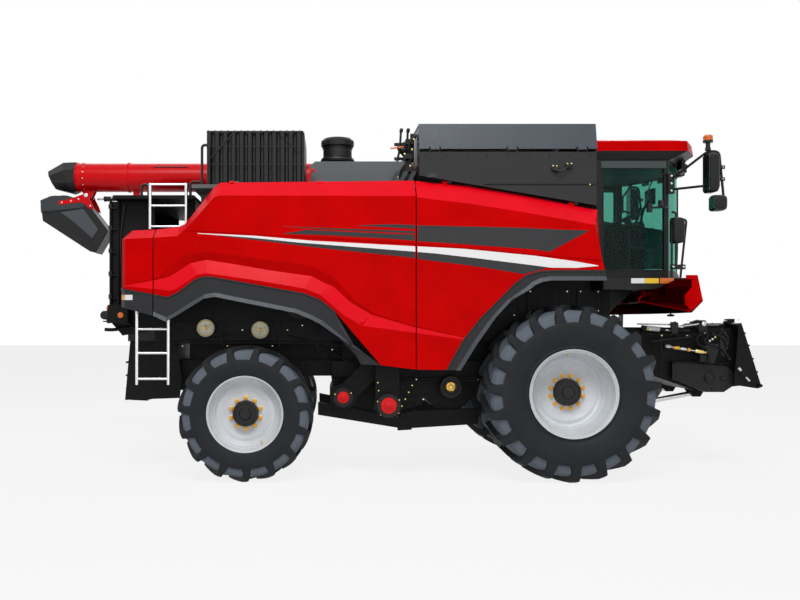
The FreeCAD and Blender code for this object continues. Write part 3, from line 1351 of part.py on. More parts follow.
def moulding_tool(y_edge, reach):
    """Long three-cornered form along the moulding; its valley lies reach deeper than the depth."""
    sections = []
    for crest, valley, foot, depth in MOULDING:
        sections.append([(crest[0], y_edge, crest[1]), (valley[0], y_edge + depth + reach, valley[1]), (foot[0], y_edge, foot[1])])
    return loft(sections)


def crease_tool():
    y_edge = -PANEL_Y - 1
    sections = []
    for (x, z), depth in CREASE:
        sections.append([(x, y_edge, z), (x, -PANEL_Y + depth, z - 6), (x, y_edge, z - CREASE_FADE)])
    return loft(sections)


def pan(face_outline, back_outline):
    """Right-hand panel pressed as a pan: bevelled outer slab, moulded, less its inner form."""
    y_face = -PANEL_Y
    y_back = -PANEL_BACK_Y
    outer = loft([[(x, y_face, z) for x, z in face_outline], [(x, y_back, z) for x, z in back_outline]])
    wall = PANEL_WALL
    small = inset(face_outline, wall)
    wide = inset(back_outline, wall)
    inner = loft([[(x, y_face + wall, z) for x, z in small], [(x, y_back + 2, z) for x, z in wide]])
    backing = moulding_tool(y_face + wall - SEAT_GAP, 0).common(outer)
    sheet = fused([outer.cut(inner), backing])
    return less(sheet, [moulding_tool(y_face - 1, 1), crease_tool()])


def rear_door_outlines():
    split = DOOR_SPLIT_X - PANEL_JOINT / 2
    top_face = [(split, 3050), (-3740, 3056), (-3805, 3040), (-4094, 2715), (-4200, 2624), (PANEL_REAR, 2606)]
    top_back = [(split, 3238), (-3760, 3216), (-3822, 3172), (-4142, 2768), (-4215, 2738), (PANEL_REAR, 2711)]
    foot = REAR_FOOT + [(split, 1207)]
    return top_face + foot, top_back + foot


def front_door_outlines():
    split = DOOR_SPLIT_X + PANEL_JOINT / 2
    top_face = [(split, 3036), (-1100, 2969), (-509, 2876), (237, 2744), (340, 2264)]
    top_back = [(split, 3234), (-1080, 3180), (-475, 3078), (310, 2924), (362, 2264)]
    foot = FRONT_ARCH + [(split, 1207)]
    return top_face + foot, top_back + foot


def trim_strip(upper, lower):
    """Dark strip under a panel: raised lip, flat band, and a foot flared outward."""
    sections = []
    for (x0, z0), (x1, z1) in zip(upper, lower):
        breadth = math.hypot(x1 - x0, z1 - z0)
        lip = LIP_BREADTH / breadth
        flare = 1 - FLARE_BREADTH / breadth
        steps = [
            (0, LIP_STANDS), (lip, LIP_STANDS), (1.35 * lip, TRIM_STANDS), (flare, TRIM_STANDS),
            (1, FLARE_STANDS), (1, FLARE_STANDS - 14), (flare, TRIM_STANDS - 14), (flare, -TRIM_BACK), (0, -TRIM_BACK),
        ]
        ring = []
        for share, stand in steps:
            ring.append((x0 + share * (x1 - x0), -PANEL_Y - stand, z0 + share * (z1 - z0) - SEAT_GAP))
        sections.append(ring)
    return loft(sections)


def rear_trim():
    return trim_strip(REAR_FOOT, ARCH_EDGE)


def front_trim():
    return trim_strip([NOSE_OF_ARCH] + FRONT_ARCH, [NOSE_OF_EDGE] + FRONT_EDGE)


REAR_HINGE_SPOTS = [-3600.0, -2650.0, -1760.0]
FRONT_HINGE_SPOTS = [0.06, 0.94]
HINGE_PIN = 8.0


def front_hinge_point(share):
    """Point on the sloping axis under the tank's lower edge."""
    x = FRONT_HINGE_X[0] + share * (FRONT_HINGE_X[1] - FRONT_HINGE_X[0])
    return x, tank_foot(x) - FRONT_HINGE_DROP


def front_hinge_direction():
    x0, z0 = front_hinge_point(0)
    x1, z1 = front_hinge_point(1)
    length = math.hypot(x1 - x0, z1 - z0)
    return (x1 - x0) / length, (z1 - z0) / length


def rear_door():
    """Right rear door: pan with hinge eyes, and its dark arch trim."""
    shell = pan(*rear_door_outlines())
    ears = []
    bores = []
    for x in REAR_HINGE_SPOTS:
        ears.append(rod((x - 60, -REAR_HINGE_Y, REAR_HINGE_Z), (x - 8, -REAR_HINGE_Y, REAR_HINGE_Z), 16))
        ears.append(box(x - 60, x - 8, -PANEL_BACK_Y - 20, -REAR_HINGE_Y + 4, REAR_HINGE_Z - 24, REAR_HINGE_Z - 10))
        bores.append(rod((x - 90, -REAR_HINGE_Y, REAR_HINGE_Z), (x + 20, -REAR_HINGE_Y, REAR_HINGE_Z), HINGE_PIN + SEAT_GAP))
    return group([less(fused([shell] + ears), bores), rear_trim()])


def front_door():
    """Right front door: pan with hinge eyes, and its dark arch trim."""
    shell = pan(*front_door_outlines())
    ears = []
    bores = []
    ux, uz = front_hinge_direction()
    for share in FRONT_HINGE_SPOTS:
        x, z = front_hinge_point(share)
        a = (x - 60 * ux, -FRONT_HINGE_Y, z - 60 * uz)
        b = (x - 8 * ux, -FRONT_HINGE_Y, z - 8 * uz)
        ears.append(rod(a, b, 14))
        ears.append(box(x - 56, x - 12, -FRONT_HINGE_Y - 12, -FRONT_HINGE_Y + 18, z - 60, z - 9))
        a = (x - 90 * ux, -FRONT_HINGE_Y, z - 90 * uz)
        b = (x + 20 * ux, -FRONT_HINGE_Y, z + 20 * uz)
        bores.append(rod(a, b, HINGE_PIN + SEAT_GAP))
    return group([less(fused([shell] + ears), bores), front_trim()])


def rear_hinge_brackets():
    """Brackets on the deck's edge that carry the pins of the rear side doors."""
    pieces = []
    for x in REAR_HINGE_SPOTS:
        block = box(x, x + 40, -REAR_HINGE_Y - 8, -DECK_HALF + 6, REAR_HINGE_Z - 30, REAR_HINGE_Z + 12)
        foot = box(x, x + 40, -DECK_HALF - 20, -DECK_HALF + 60, DECK_Z + DECK_SHEET, REAR_HINGE_Z + 12)
        pin = rod((x - 70, -REAR_HINGE_Y, REAR_HINGE_Z), (x + 10, -REAR_HINGE_Y, REAR_HINGE_Z), HINGE_PIN)
        pieces += [block, foot, pin]
    return pieces + [left_of(piece) for piece in pieces]


def front_hinge_brackets():
    """Brackets inside the tank's lower edge that carry the pins of the front side doors."""
    pieces = []
    ux, uz = front_hinge_direction()
    for share in FRONT_HINGE_SPOTS:
        x, z = front_hinge_point(share)
        block = box(x, x + 36, -FRONT_HINGE_Y - 12, -FRONT_HINGE_Y + 10, z - 9, z + 40)
        root = box(x, x + 36, -TANK_HALF + TANK_WALL / 2, -FRONT_HINGE_Y, z + FRONT_HINGE_DROP + 8, z + 40)
        a = (x - 70 * ux, -FRONT_HINGE_Y, z - 70 * uz)
        b = (x + 10 * ux, -FRONT_HINGE_Y, z + 10 * uz)
        pieces += [block, root, rod(a, b, HINGE_PIN)]
    return pieces + [left_of(piece) for piece in pieces]


CORNER_BACK = rear(-1330)
CORNER_START = PANEL_REAR - PANEL_JOINT


def corner_plan(stand):
    """Plan of the corner panel's sheet, standing out by stand from the panel's face."""
    back = CORNER_BACK
    return [
        (CORNER_START, -PANEL_Y - stand), (back + 60 - stand, -PANEL_Y - stand), (back + 14 - stand, -PANEL_Y + 60 - stand),
        (back - 20 - stand, -BODY_HALF - 30), (back + 5, -BODY_HALF - 30),
        (back + 36, -PANEL_Y + 75), (back + 70, -PANEL_Y + 25), (CORNER_START, -PANEL_Y + 25),
    ]


def tilted(plan, height, rise):
    """The plan's points on a plane that climbs by rise per millimetre towards the tail."""
    return [(x, y, height + rise * (CORNER_START - x)) for x, y in plan]


def rear_corner():
    """Fixed corner panel that wraps from the side round to the hood."""
    back = CORNER_BACK
    rim_plan = [
        (CORNER_START, -PANEL_BACK_Y), (back + 120, -PANEL_BACK_Y), (back + 90, -PANEL_BACK_Y + 30),
        (back + 60, -BODY_HALF - 30), (back + 85, -BODY_HALF - 30),
        (back + 112, -PANEL_BACK_Y + 45), (back + 130, -PANEL_BACK_Y + 25), (CORNER_START, -PANEL_BACK_Y + 25),
    ]
    foot = tilted(corner_plan(0), 2012, 0.17)
    shoulder = tilted(corner_plan(0), 2606, -0.04)
    top = tilted(rim_plan, 2710, -0.04)
    sheet = fused([loft([foot, shoulder]), loft([shoulder, top])])
    stays = [box(back - 12, back + 2, -BODY_HALF - 40, -BODY_HALF - SEAT_GAP, z, z + 60) for z in (2150, 2480)]
    return less(fused([sheet] + stays), [moulding_tool(-PANEL_Y - 1, 1)])


def corner_trim():
    """Dark foot of the corner panel, with the same lip as the doors' trim."""
    head = 2012 - SEAT_GAP
    lip = loft([tilted(corner_plan(LIP_STANDS), head - LIP_BREADTH, 0.17), tilted(corner_plan(LIP_STANDS), head, 0.17)])
    band = loft([tilted(corner_plan(TRIM_STANDS), 1779, 0.27), tilted(corner_plan(TRIM_STANDS), head, 0.17)])
    return fused([lip, band])


# ---------------------------------------------------------------- rear end
def rear_hood():
    """Straw hood behind the walkers, open to the rear and below."""
    x0 = rear(-1567)
    x1 = rear(-1080) - SEAT_GAP
    outer = side_slab([(x1, 1620), (x0 + 120, 1560), (x0, 1700), (x0, 3080), (x1, 3080)], -BODY_HALF, BODY_HALF)
    core = box(x0 + 15, x1 + 5, -BODY_HALF + 15, BODY_HALF - 15, 1500, 3065)
    door = box(x0 - 10, x0 + 60, -BODY_HALF + 90, BODY_HALF - 90, 1800, 2500)
    return less(outer, [core, door])


def rear_walkway():
    """Grating over the hood on two posts, joined to the deck."""
    plate = box(rear(-1500), DECK_REAR - SEAT_GAP, -1000, 1000, 3080, 3120)
    posts = [box(DECK_REAR - 120, DECK_REAR - 40, y, y + 80, BODY_TOP, 3080) for y in (-BODY_HALF + 20, BODY_HALF - 100)]
    return fused([plate] + posts)


def straw_chopper():
    """Chopper: side plates, curved throat, rotor tube and deflector tail."""
    half = 650.0
    x0 = rear(-1450)
    x1 = rear(-800)
    top = BODY_STEP_Z - SEAT_GAP
    outline = [(x0 + 60, top), (x0, 818), (x1 - 20, 841), (x1, RAIL_BOTTOM - SEAT_GAP), (x1 - 60, top)]
    plates = []
    for side in (-1, 1):
        y0, y1 = sorted((side * half, side * (half - 14)))
        plates.append(side_slab(outline, y0, y1))
    rotor = disc_y(rear(-1080), 1330, 150, -half + 14, half - 14)
    tail = side_slab([(x0 + 70, 1180), (x0 + 20, 835), (x0 + 40, 835), (x0 + 90, 1180)], -half + 14, half - 14)
    throat = side_slab([(x1 - 90, 1500), (x1 - 60, 1100), (x1 - 40, 1100), (x1 - 70, 1500)], -half + 14, half - 14)
    lid = box(x0 + 70, x1 - 70, -half + 14, half - 14, top - 20, top)
    return fused(plates + [rotor, tail, throat, lid])


def ladder(x0, x1, y, z0, z1, rungs, radius):
    rails = [disc_z(x, y, radius, z0, z1) for x in (x0, x1)]
    steps = [rod((x0, y, z), (x1, y, z), 0.75 * radius) for z in rungs]
    return rails + steps


def upper_ladder():
    """Ladder from the rear corner up to the walkway."""
    y = -1000 - 17 - SEAT_GAP
    rungs = ladder(-4566, -4168, y, 2741, 3249, (2770, 3000, 3235), 17)
    stays = [box(x - 12, x + 12, y, -1000 + 12, 3082, 3110) for x in (-4566, -4168)]
    pad = [s.cut(box(-6000, 0, -1000 - SEAT_GAP, 0, 0, 5000)) for s in stays]
    return fused(rungs + pad)


def lower_ladder():
    """Ladder under the rear corner, stayed to the body."""
    y = -1250.0
    pieces = ladder(-4660, -4320, y, 1035, 1850, (1100, 1378, 1637), 17)
    pieces.append(rod((-4660, y, 1830), (-4660, -BODY_HALF - SEAT_GAP, 1830), 15))
    pieces.append(rod((-4320, y, 1830), (-4320, -BODY_HALF - SEAT_GAP, 1830), 15))
    return fused(pieces)


ENTRY_HINGE_Y = 1415.0
ENTRY_HINGE_Z = 1240.0
ENTRY_REAR = 1040.0
ENTRY_FRONT = 1440.0
ENTRY_PIN = 9.0


def entry_ladder_top():
    """Fixed upper part of the left ladder, hung from the platform's edge."""
    y0 = PLATFORM_HALF
    y1 = y0 + 150
    z0 = ENTRY_HINGE_Z - 20
    z1 = CAB_FLOOR_Z - PLATFORM_DEPTH
    pieces = []
    for x in (ENTRY_REAR, ENTRY_FRONT - 20):
        pieces.append(cross_slab([(y0, z1 + 10), (y1 - 20, z1 + 10), (y1, z0), (y0 + 40, z0)], x, x + 20))
        pieces.append(cross_slab([(y1 - 60, z0 + 60), (y1 - 60, z0), (ENTRY_HINGE_Y + 16, ENTRY_HINGE_Z - 16), (ENTRY_HINGE_Y + 16, ENTRY_HINGE_Z + 16)], x, x + 20))
    pieces += [box(ENTRY_REAR, ENTRY_FRONT, y0 + 30, y1 - 10, z, z + 25) for z in (1300, 1560, 1820)]
    pieces.append(box(ENTRY_REAR, ENTRY_FRONT, y0 - 5, y1 - 20, z1, z1 + 60))
    pieces.append(rod((ENTRY_REAR + 5, ENTRY_HINGE_Y, ENTRY_HINGE_Z), (ENTRY_FRONT - 5, ENTRY_HINGE_Y, ENTRY_HINGE_Z), ENTRY_PIN))
    return pieces


def entry_ladder_foot():
    """Lower part of the left ladder, which folds up on its hinge pin."""
    x0 = ENTRY_REAR + 26
    x1 = ENTRY_FRONT - 26
    y0 = PLATFORM_HALF + 30
    y1 = y0 + 130
    pieces = []
    for x in (x0, x1 - 18):
        pieces.append(cross_slab([(y0 + 20, ENTRY_HINGE_Z - 50), (y1, ENTRY_HINGE_Z - 50), (y1 + 30, 470), (y0 + 50, 470)], x, x + 18))
        pieces.append(rod((x, ENTRY_HINGE_Y, ENTRY_HINGE_Z), (x + 18, ENTRY_HINGE_Y, ENTRY_HINGE_Z), 20))
        pieces.append(cross_slab([(y1 - 30, ENTRY_HINGE_Z - 60), (ENTRY_HINGE_Y + 19, ENTRY_HINGE_Z - 5), (ENTRY_HINGE_Y - 12, ENTRY_HINGE_Z + 8), (y1 - 60, ENTRY_HINGE_Z - 50)], x, x + 18))
    pieces += [box(x0, x1, y0 + 60, y1 + 10, z, z + 25) for z in (500, 760, 1020)]
    bore = rod((x0 - 10, ENTRY_HINGE_Y, ENTRY_HINGE_Z), (x1 + 10, ENTRY_HINGE_Y, ENTRY_HINGE_Z), ENTRY_PIN + SEAT_GAP)
    return fused(pieces).cut(bore)


def deck_rails():
    """Handrails beside the upper ladder and at the deck's rear corner."""
    y = -960.0
    hoops = [
        bent_tube([(-4673, y, 3120), (-4673, y, 3240), (-4597, y, 3240), (-4597, y, 3120)], 15, 35),
        bent_tube([(-4130, y, 3120), (-4130, y, 3272), (-4005, y, 3272), (-4005, y, 3210)], 15, 35),
        bent_tube([(-3982, y - 130, 3210), (-3982, y - 130, 3656), (-3904, y - 130, 3656), (-3904, y - 130, 3210)], 15, 35),
    ]
    return group(hoops)


def tow_hitch():
    """Towing clevis behind the steering axle's beam, above the track rod."""
    x = rear(-90)
    z0 = REAR_HUB_Z + 15
    z1 = REAR_HUB_Z + 135
    body = box(x - 330, x + 10, -60, 60, z0, z1)
    slot = box(x - 340, x - 200, -70, 70, z0 + 40, z1 - 40)
    bore = disc_z(x - 280, 0, HITCH_PIN, z0 - 10, z1 + 10)
    return less(body, [slot, bore])


def cover_linkage():
    """Rods and crank of the tank cover opener behind the tank."""
    x = TANK_REAR - 50
    pieces = []
    for side in (-1, 1):
        post = box(x - 20, x + 20, side * 980 - 25, side * 980 + 25, 3490 if side < 0 else DECK_Z + DECK_SHEET, 3800)
        arm = rod((x, side * 980, 3780), (x, side * 620, 3560), 14)
        pieces += [post, arm]
    shaft = rod((x, -620, 3560), (x, 620, 3560), 18)
    return fused(pieces + [shaft])


# ---------------------------------------------------------------- all pieces
os.makedirs("parts", exist_ok=True)

front_rubber, front_steel = front_wheel()
rear_rubber, rear_steel = rear_wheel()
for name, piece in (("tyre_front", front_rubber), ("rim_front", front_steel), ("tyre_rear", rear_rubber), ("rim_rear", rear_steel)):
    save(name + "_left", piece)
    save(name + "_right", left_of(piece))

left_knuckle = knuckle()
save("knuckle_left", left_knuckle)
save("knuckle_right", left_of(left_knuckle))
save("steering_rod", steering_rod())

save("main_frame", main_frame())
save("front_axle", fused([front_axle()] + lift_mounts()))
save("rear_axle", fused([rear_axle(), tow_hitch()]))
save("separator_body", separator_body())
save("cleaning_shoe", fused([cleaning_shoe(), fan_housing(), lower_side_bars()]))
save("elevators", group([grain_elevator(), returns_elevator()]))
save("drive_pulleys", group([right_pulleys(), left_pulleys()]))
save("engine_block", engine_block())
save("engine_deck", engine_deck())
save("radiator_housing", radiator_housing())
save("air_precleaner", air_precleaner())

save("grain_tank", group([grain_tank(), tank_augers()]))
save("tank_cover_left", tank_cover(1))
save("tank_cover_right", tank_cover(-1))
save("tank_cover_linkage", cover_linkage())
save("auger_turret", auger_turret())
save("auger_tube", auger_tube())
save("auger_boot", auger_boot())
save("spout", spout())

save("cab_frame", cab_frame())
save("cab_roof", cab_roof())
save("cab_glass", group([windscreen(), cab_windows()]))
door_frame, door_pane = cab_door()
save("cab_door", door_frame)
save("cab_door_glass", door_pane)
save("cab_interior", group([seat(), steering_column(), console()]))
save("work_lights", work_lights())
save("platform", platform())
save("nose_panel", nose_panel())
save("handrails", group([platform_rails(), deck_rails()]))
save("mirrors", group([mirror_arm(-1), mirror_arm(1)]))
save("beacons", beacons())
save("entry_ladder", entry_ladder_foot())

save("feeder_house", feeder_house())
save("feeder_conveyor", feeder_conveyor())
save("feeder_drive_cover", feeder_drive_cover())
save("header_frame", header_frame())
save("lift_barrels", both_sides(lift_barrel()))
save("lift_rods", both_sides(lift_rod()))

for name, piece in (("rear_door", rear_door()), ("front_door", front_door())):
    save(name + "_right", piece)
    save(name + "_left", left_of(piece))
save("rear_corners", both_sides(group([rear_corner(), corner_trim()])))
save("rear_hood", rear_hood())
save("rear_walkway", rear_walkway())
save("straw_chopper", straw_chopper())
save("service_ladders", group([upper_ladder(), lower_ladder()]))
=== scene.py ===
import json
import math

import bmesh
import bpy
from mathutils import Matrix, Vector
from mathutils.bvhtree import BVHTree


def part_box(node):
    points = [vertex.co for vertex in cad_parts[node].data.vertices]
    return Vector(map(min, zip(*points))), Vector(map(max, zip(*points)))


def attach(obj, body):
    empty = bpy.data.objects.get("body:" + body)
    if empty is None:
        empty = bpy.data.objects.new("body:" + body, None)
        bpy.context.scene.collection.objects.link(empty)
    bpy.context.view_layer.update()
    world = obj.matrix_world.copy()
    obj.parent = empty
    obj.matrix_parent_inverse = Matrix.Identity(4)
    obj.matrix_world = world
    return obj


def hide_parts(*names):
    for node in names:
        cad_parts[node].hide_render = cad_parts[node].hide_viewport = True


# Looks of the combine harvester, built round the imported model. Metres, X forward,
# Y to the machine's left, Z up. Lengths along X are given from the front axle.

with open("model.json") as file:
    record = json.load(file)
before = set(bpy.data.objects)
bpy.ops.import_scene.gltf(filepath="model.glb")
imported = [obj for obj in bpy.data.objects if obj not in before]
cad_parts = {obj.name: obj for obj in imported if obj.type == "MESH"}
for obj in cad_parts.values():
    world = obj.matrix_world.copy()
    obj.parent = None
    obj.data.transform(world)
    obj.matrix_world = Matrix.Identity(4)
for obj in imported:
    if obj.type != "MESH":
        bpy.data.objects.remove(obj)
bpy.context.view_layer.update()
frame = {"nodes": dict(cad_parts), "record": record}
NODES = frame["nodes"]


def middle(node):
    low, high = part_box(node)
    return (low + high) / 2


AXLE_X = middle("tyre_front_right").x
SIDES = (("right", -1), ("left", 1))
NODE_BODY = {node: body for body, nodes in frame["record"]["behaviour"]["bodies"].items() for node in nodes}

# Faces and places that many fittings share: distance from the middle plane, or height.
CAB_SIDE = 0.835
CAB_FLOOR = 2.262
BODY_SIDE = 0.782
TANK_SIDE = 1.31
DOOR_SIDE = 1.4
FEEDER_SIDE = -0.758
CHAIN_CASE_SIDE = -0.69
REAR_LAMP_Y = 0.86
POST_Y = 0.80
HOOP_Y = 1.2
MIRROR_Y = 1.21
SPOUT_SIDES = ((0.835, -1), (1.165, 1))
AUGER_Y, AUGER_Z, AUGER_RADIUS = 1.0, 3.655, 0.19


def at(x, y, z):
    """Point whose X is measured from the front axle."""
    return Vector((AXLE_X + x, y, z))


# ---------------------------------------------------------------- materials
DUST = (0.16, 0.15, 0.135)
BLOOM = (0.085, 0.087, 0.092)


def tree_of(name):
    mat = bpy.data.materials.new(name)
    mat.use_nodes = True
    return mat, mat.node_tree, mat.node_tree.nodes["Principled BSDF"]


def coordinates(tree, scale=(1, 1, 1)):
    """Object coordinates, stretched."""
    where = tree.nodes.new("ShaderNodeTexCoord")
    mapping = tree.nodes.new("ShaderNodeMapping")
    mapping.inputs["Scale"].default_value = scale
    tree.links.new(where.outputs["Object"], mapping.inputs["Vector"])
    return mapping.outputs["Vector"]


def noise(tree, vector, scale, detail=3.0, rough=0.55):
    node = tree.nodes.new("ShaderNodeTexNoise")
    node.inputs["Scale"].default_value = scale
    node.inputs["Detail"].default_value = detail
    node.inputs["Roughness"].default_value = rough
    tree.links.new(vector, node.inputs["Vector"])
    return node.outputs["Fac"]


def ramp(tree, value, low, high, a, b):
    """Value mapped from low..high to a..b."""
    node = tree.nodes.new("ShaderNodeMapRange")
    for socket, number in zip(node.inputs[1:5], (low, high, a, b)):
        socket.default_value = number
    tree.links.new(value, node.inputs[0])
    return node.outputs[0]


def blend_colours(tree, factor, a, b):
    node = tree.nodes.new("ShaderNodeMix")
    node.data_type = "RGBA"
    for socket, colour in ((node.inputs[6], a), (node.inputs[7], b)):
        if isinstance(colour, tuple):
            socket.default_value = (*colour, 1)
        else:
            tree.links.new(colour, socket)
    tree.links.new(factor, node.inputs[0])
    return node.outputs[2]


def combined(tree, operation, a, b):
    """Two values through one Math operation. The second may be a plain number."""
    node = tree.nodes.new("ShaderNodeMath")
    node.operation = operation
    tree.links.new(a, node.inputs[0])
    if isinstance(b, float):
        node.inputs[1].default_value = b
    else:
        tree.links.new(b, node.inputs[1])
    return node.outputs[0]


def mix_shaders(tree, factor, first, second, surface):
    """Feeds a surface with the first shader where the factor is 0 and the second where it is 1."""
    mix = tree.nodes.new("ShaderNodeMixShader")
    for value, socket in zip((factor, first.outputs[0], second.outputs[0]), mix.inputs):
        tree.links.new(value, socket)
    tree.links.new(mix.outputs[0], surface)


def height(tree, shader, value, strength, distance):
    """Surface relief on a shader."""
    node = tree.nodes.new("ShaderNodeBump")
    node.inputs["Strength"].default_value = strength
    node.inputs["Distance"].default_value = distance
    tree.links.new(value, node.inputs["Height"])
    tree.links.new(node.outputs["Normal"], shader.inputs["Normal"])


def tinted(colour, share):
    """A colour made darker or lighter."""
    return tuple(min(1.0, c * share) for c in colour)


def dusty(tree, colour, dust, vector, low, high, most):
    """Colour with a veil of dust that thickens towards the ground, broken up by noise."""
    split = tree.nodes.new("ShaderNodeSeparateXYZ")
    where = tree.nodes.new("ShaderNodeTexCoord")
    tree.links.new(where.outputs["Object"], split.inputs[0])
    fall = ramp(tree, split.outputs["Z"], low, high, most, 0.0)
    cloud = ramp(tree, noise(tree, vector, 2.3, 5.0, 0.65), 0.35, 0.75, 0.3, 1.0)
    return blend_colours(tree, combined(tree, "MULTIPLY", fall, cloud), colour, dust)


def coated(name, colour, roughness, grain=0.0, metallic=0.0, coat=0.0, specular=0.5, scale=1.0, dust=0.0):
    """Paint, plastic or metal: fine colour drift, uneven gloss and a little surface grain."""
    mat, tree, shader = tree_of(name)
    vector = coordinates(tree, (scale, scale, scale))
    drift = ramp(tree, noise(tree, vector, 3.1, 4.0), 0.3, 0.7, 0.0, 1.0)
    base = blend_colours(tree, drift, tinted(colour, 0.9), tinted(colour, 1.08))
    if dust:
        base = dusty(tree, base, DUST, vector, 0.1, 1.7, dust)
    tree.links.new(base, shader.inputs["Base Color"])
    gloss = ramp(tree, noise(tree, vector, 22.0, 3.0), 0.3, 0.7, roughness * 0.85, min(1.0, roughness * 1.15))
    tree.links.new(gloss, shader.inputs["Roughness"])
    shader.inputs["Metallic"].default_value = metallic
    shader.inputs["Specular IOR Level"].default_value = specular
    shader.inputs["Coat Weight"].default_value = coat
    shader.inputs["Coat Roughness"].default_value = 0.08
    if grain:
        height(tree, shader, noise(tree, vector, 420.0, 2.0), grain, 0.002)
    return mat


def clear(name, tint, skin):
    """Tinted glazing: coloured see-through mixed with a glossy skin that has faint streaks."""
    mat, tree, shader = tree_of(name)
    shader.inputs["Base Color"].default_value = (0.03, 0.06, 0.054, 1)
    shader.inputs["Roughness"].default_value = 0.12
    shader.inputs["Specular IOR Level"].default_value = 0.6
    vector = coordinates(tree, (1.0, 1.0, 0.35))
    streak = ramp(tree, noise(tree, vector, 6.0, 3.0), 0.3, 0.8, skin * 0.9, skin * 1.1)
    tone = noise(tree, vector, 1.7, 2.0)
    through = tree.nodes.new("ShaderNodeBsdfTransparent")
    tree.links.new(blend_colours(tree, tone, tinted(tint, 0.94), tint), through.inputs["Color"])
    mix_shaders(tree, streak, through, shader, tree.nodes["Material Output"].inputs["Surface"])
    return mat


def brushed(name, colour, roughness, along):
    """Bare metal with fine lines along one axis."""
    mat, tree, shader = tree_of(name)
    stretch = [90.0, 90.0, 90.0]
    stretch["xyz".index(along)] = 3.0
    vector = coordinates(tree, tuple(stretch))
    lines = noise(tree, vector, 6.0, 4.0, 0.7)
    tone = ramp(tree, lines, 0.3, 0.7, 0.0, 1.0)
    base = blend_colours(tree, tone, tinted(colour, 0.86), tinted(colour, 1.06))
    tree.links.new(base, shader.inputs["Base Color"])
    tree.links.new(ramp(tree, lines, 0.2, 0.8, roughness * 0.8, roughness * 1.25), shader.inputs["Roughness"])
    shader.inputs["Metallic"].default_value = 1.0
    height(tree, shader, lines, 0.15, 0.0006)
    return mat


def rubber(name, colour, dust):
    """Tyre rubber with mould flow marks and a greyish bloom."""
    mat, tree, shader = tree_of(name)
    vector = coordinates(tree)
    bloom = ramp(tree, noise(tree, vector, 5.0, 6.0, 0.65), 0.35, 0.75, 0.0, dust)
    base = blend_colours(tree, bloom, colour, BLOOM)
    tree.links.new(base, shader.inputs["Base Color"])
    tree.links.new(ramp(tree, noise(tree, vector, 40.0, 3.0), 0.3, 0.7, 0.46, 0.66), shader.inputs["Roughness"])
    shader.inputs["Specular IOR Level"].default_value = 0.2
    height(tree, shader, noise(tree, vector, 260.0, 3.0), 0.25, 0.0012)
    return mat


def woven(name, colour, pitch):
    """Cloth of the driving seat: two crossed wave sets as warp and weft, with sheen."""
    mat, tree, shader = tree_of(name)
    vector = coordinates(tree)
    waves = []
    for direction in ("X", "Z"):
        wave = tree.nodes.new("ShaderNodeTexWave")
        wave.bands_direction = direction
        wave.inputs["Scale"].default_value = 1.0 / pitch
        wave.inputs["Distortion"].default_value = 0.6
        tree.links.new(vector, wave.inputs["Vector"])
        waves.append(wave.outputs["Fac"])
    cross = combined(tree, "MULTIPLY", *waves)
    base = blend_colours(tree, cross, tinted(colour, 0.6), tinted(colour, 1.3))
    tree.links.new(base, shader.inputs["Base Color"])
    shader.inputs["Roughness"].default_value = 0.9
    shader.inputs["Sheen Weight"].default_value = 0.35
    height(tree, shader, cross, 0.5, 0.001)
    return mat


def glowing(name, colour, strength):
    """Lamp lens or reflector: ribbed clear plastic over its colour, glowing faintly; on reflectors, markers,
    stripes and other parts that are no lamps the glow is painted light.
    """
    mat, tree, shader = tree_of(name)
    vector = coordinates(tree)
    wave = tree.nodes.new("ShaderNodeTexWave")
    wave.inputs["Scale"].default_value = 90.0
    tree.links.new(vector, wave.inputs["Vector"])
    base = blend_colours(tree, wave.outputs["Fac"], tinted(colour, 0.85), colour)
    tree.links.new(base, shader.inputs["Base Color"])
    shader.inputs["Roughness"].default_value = 0.18
    shader.inputs["Emission Color"].default_value = (*colour, 1)
    shader.inputs["Emission Strength"].default_value = strength
    height(tree, shader, wave.outputs["Fac"], 0.3, 0.001)
    return mat


RED = coated("red_paint", (0.70, 0.0006, 0.0008), 0.36, grain=0.02, specular=0.03)
# Lighter, glossier copy of the red paint for faces that lean up: painted highlight.
RED_PAINTED_HIGHLIGHT = coated("red_painted_highlight", (1.0, 0.002, 0.014), 0.32, grain=0.02, specular=0.14)
# Near-black copy of the red paint for faces that lean down and for the nose's cheeks: painted shade.
RED_PAINTED_SHADE = coated("red_painted_shade", (0.05, 0.0005, 0.0006), 0.55, grain=0.02, specular=0.0)
RED_TUBE = coated("red_tube", (0.85, 0.001, 0.006), 0.3, grain=0.02, specular=0.2)
DARK = coated("dark_paint", (0.0095, 0.01, 0.0105), 0.48, grain=0.05, specular=0.25, dust=0.07)
CHASSIS = coated("chassis_paint", (0.0045, 0.005, 0.005), 0.5, grain=0.06, specular=0.14, dust=0.05)
TANK_GREY = coated("tank_grey", (0.019, 0.0195, 0.0205), 0.4, grain=0.03, specular=0.3)
COVER_GREY = coated("cover_grey", (0.052, 0.064, 0.079), 0.4, grain=0.03, specular=0.4)
DECK_GREY = coated("deck_grey", (0.105, 0.119, 0.125), 0.42, grain=0.03, specular=0.45)
TRIM = coated("trim_plastic", (0.0155, 0.0165, 0.0185), 0.5, grain=0.3, specular=0.3, scale=1.4)
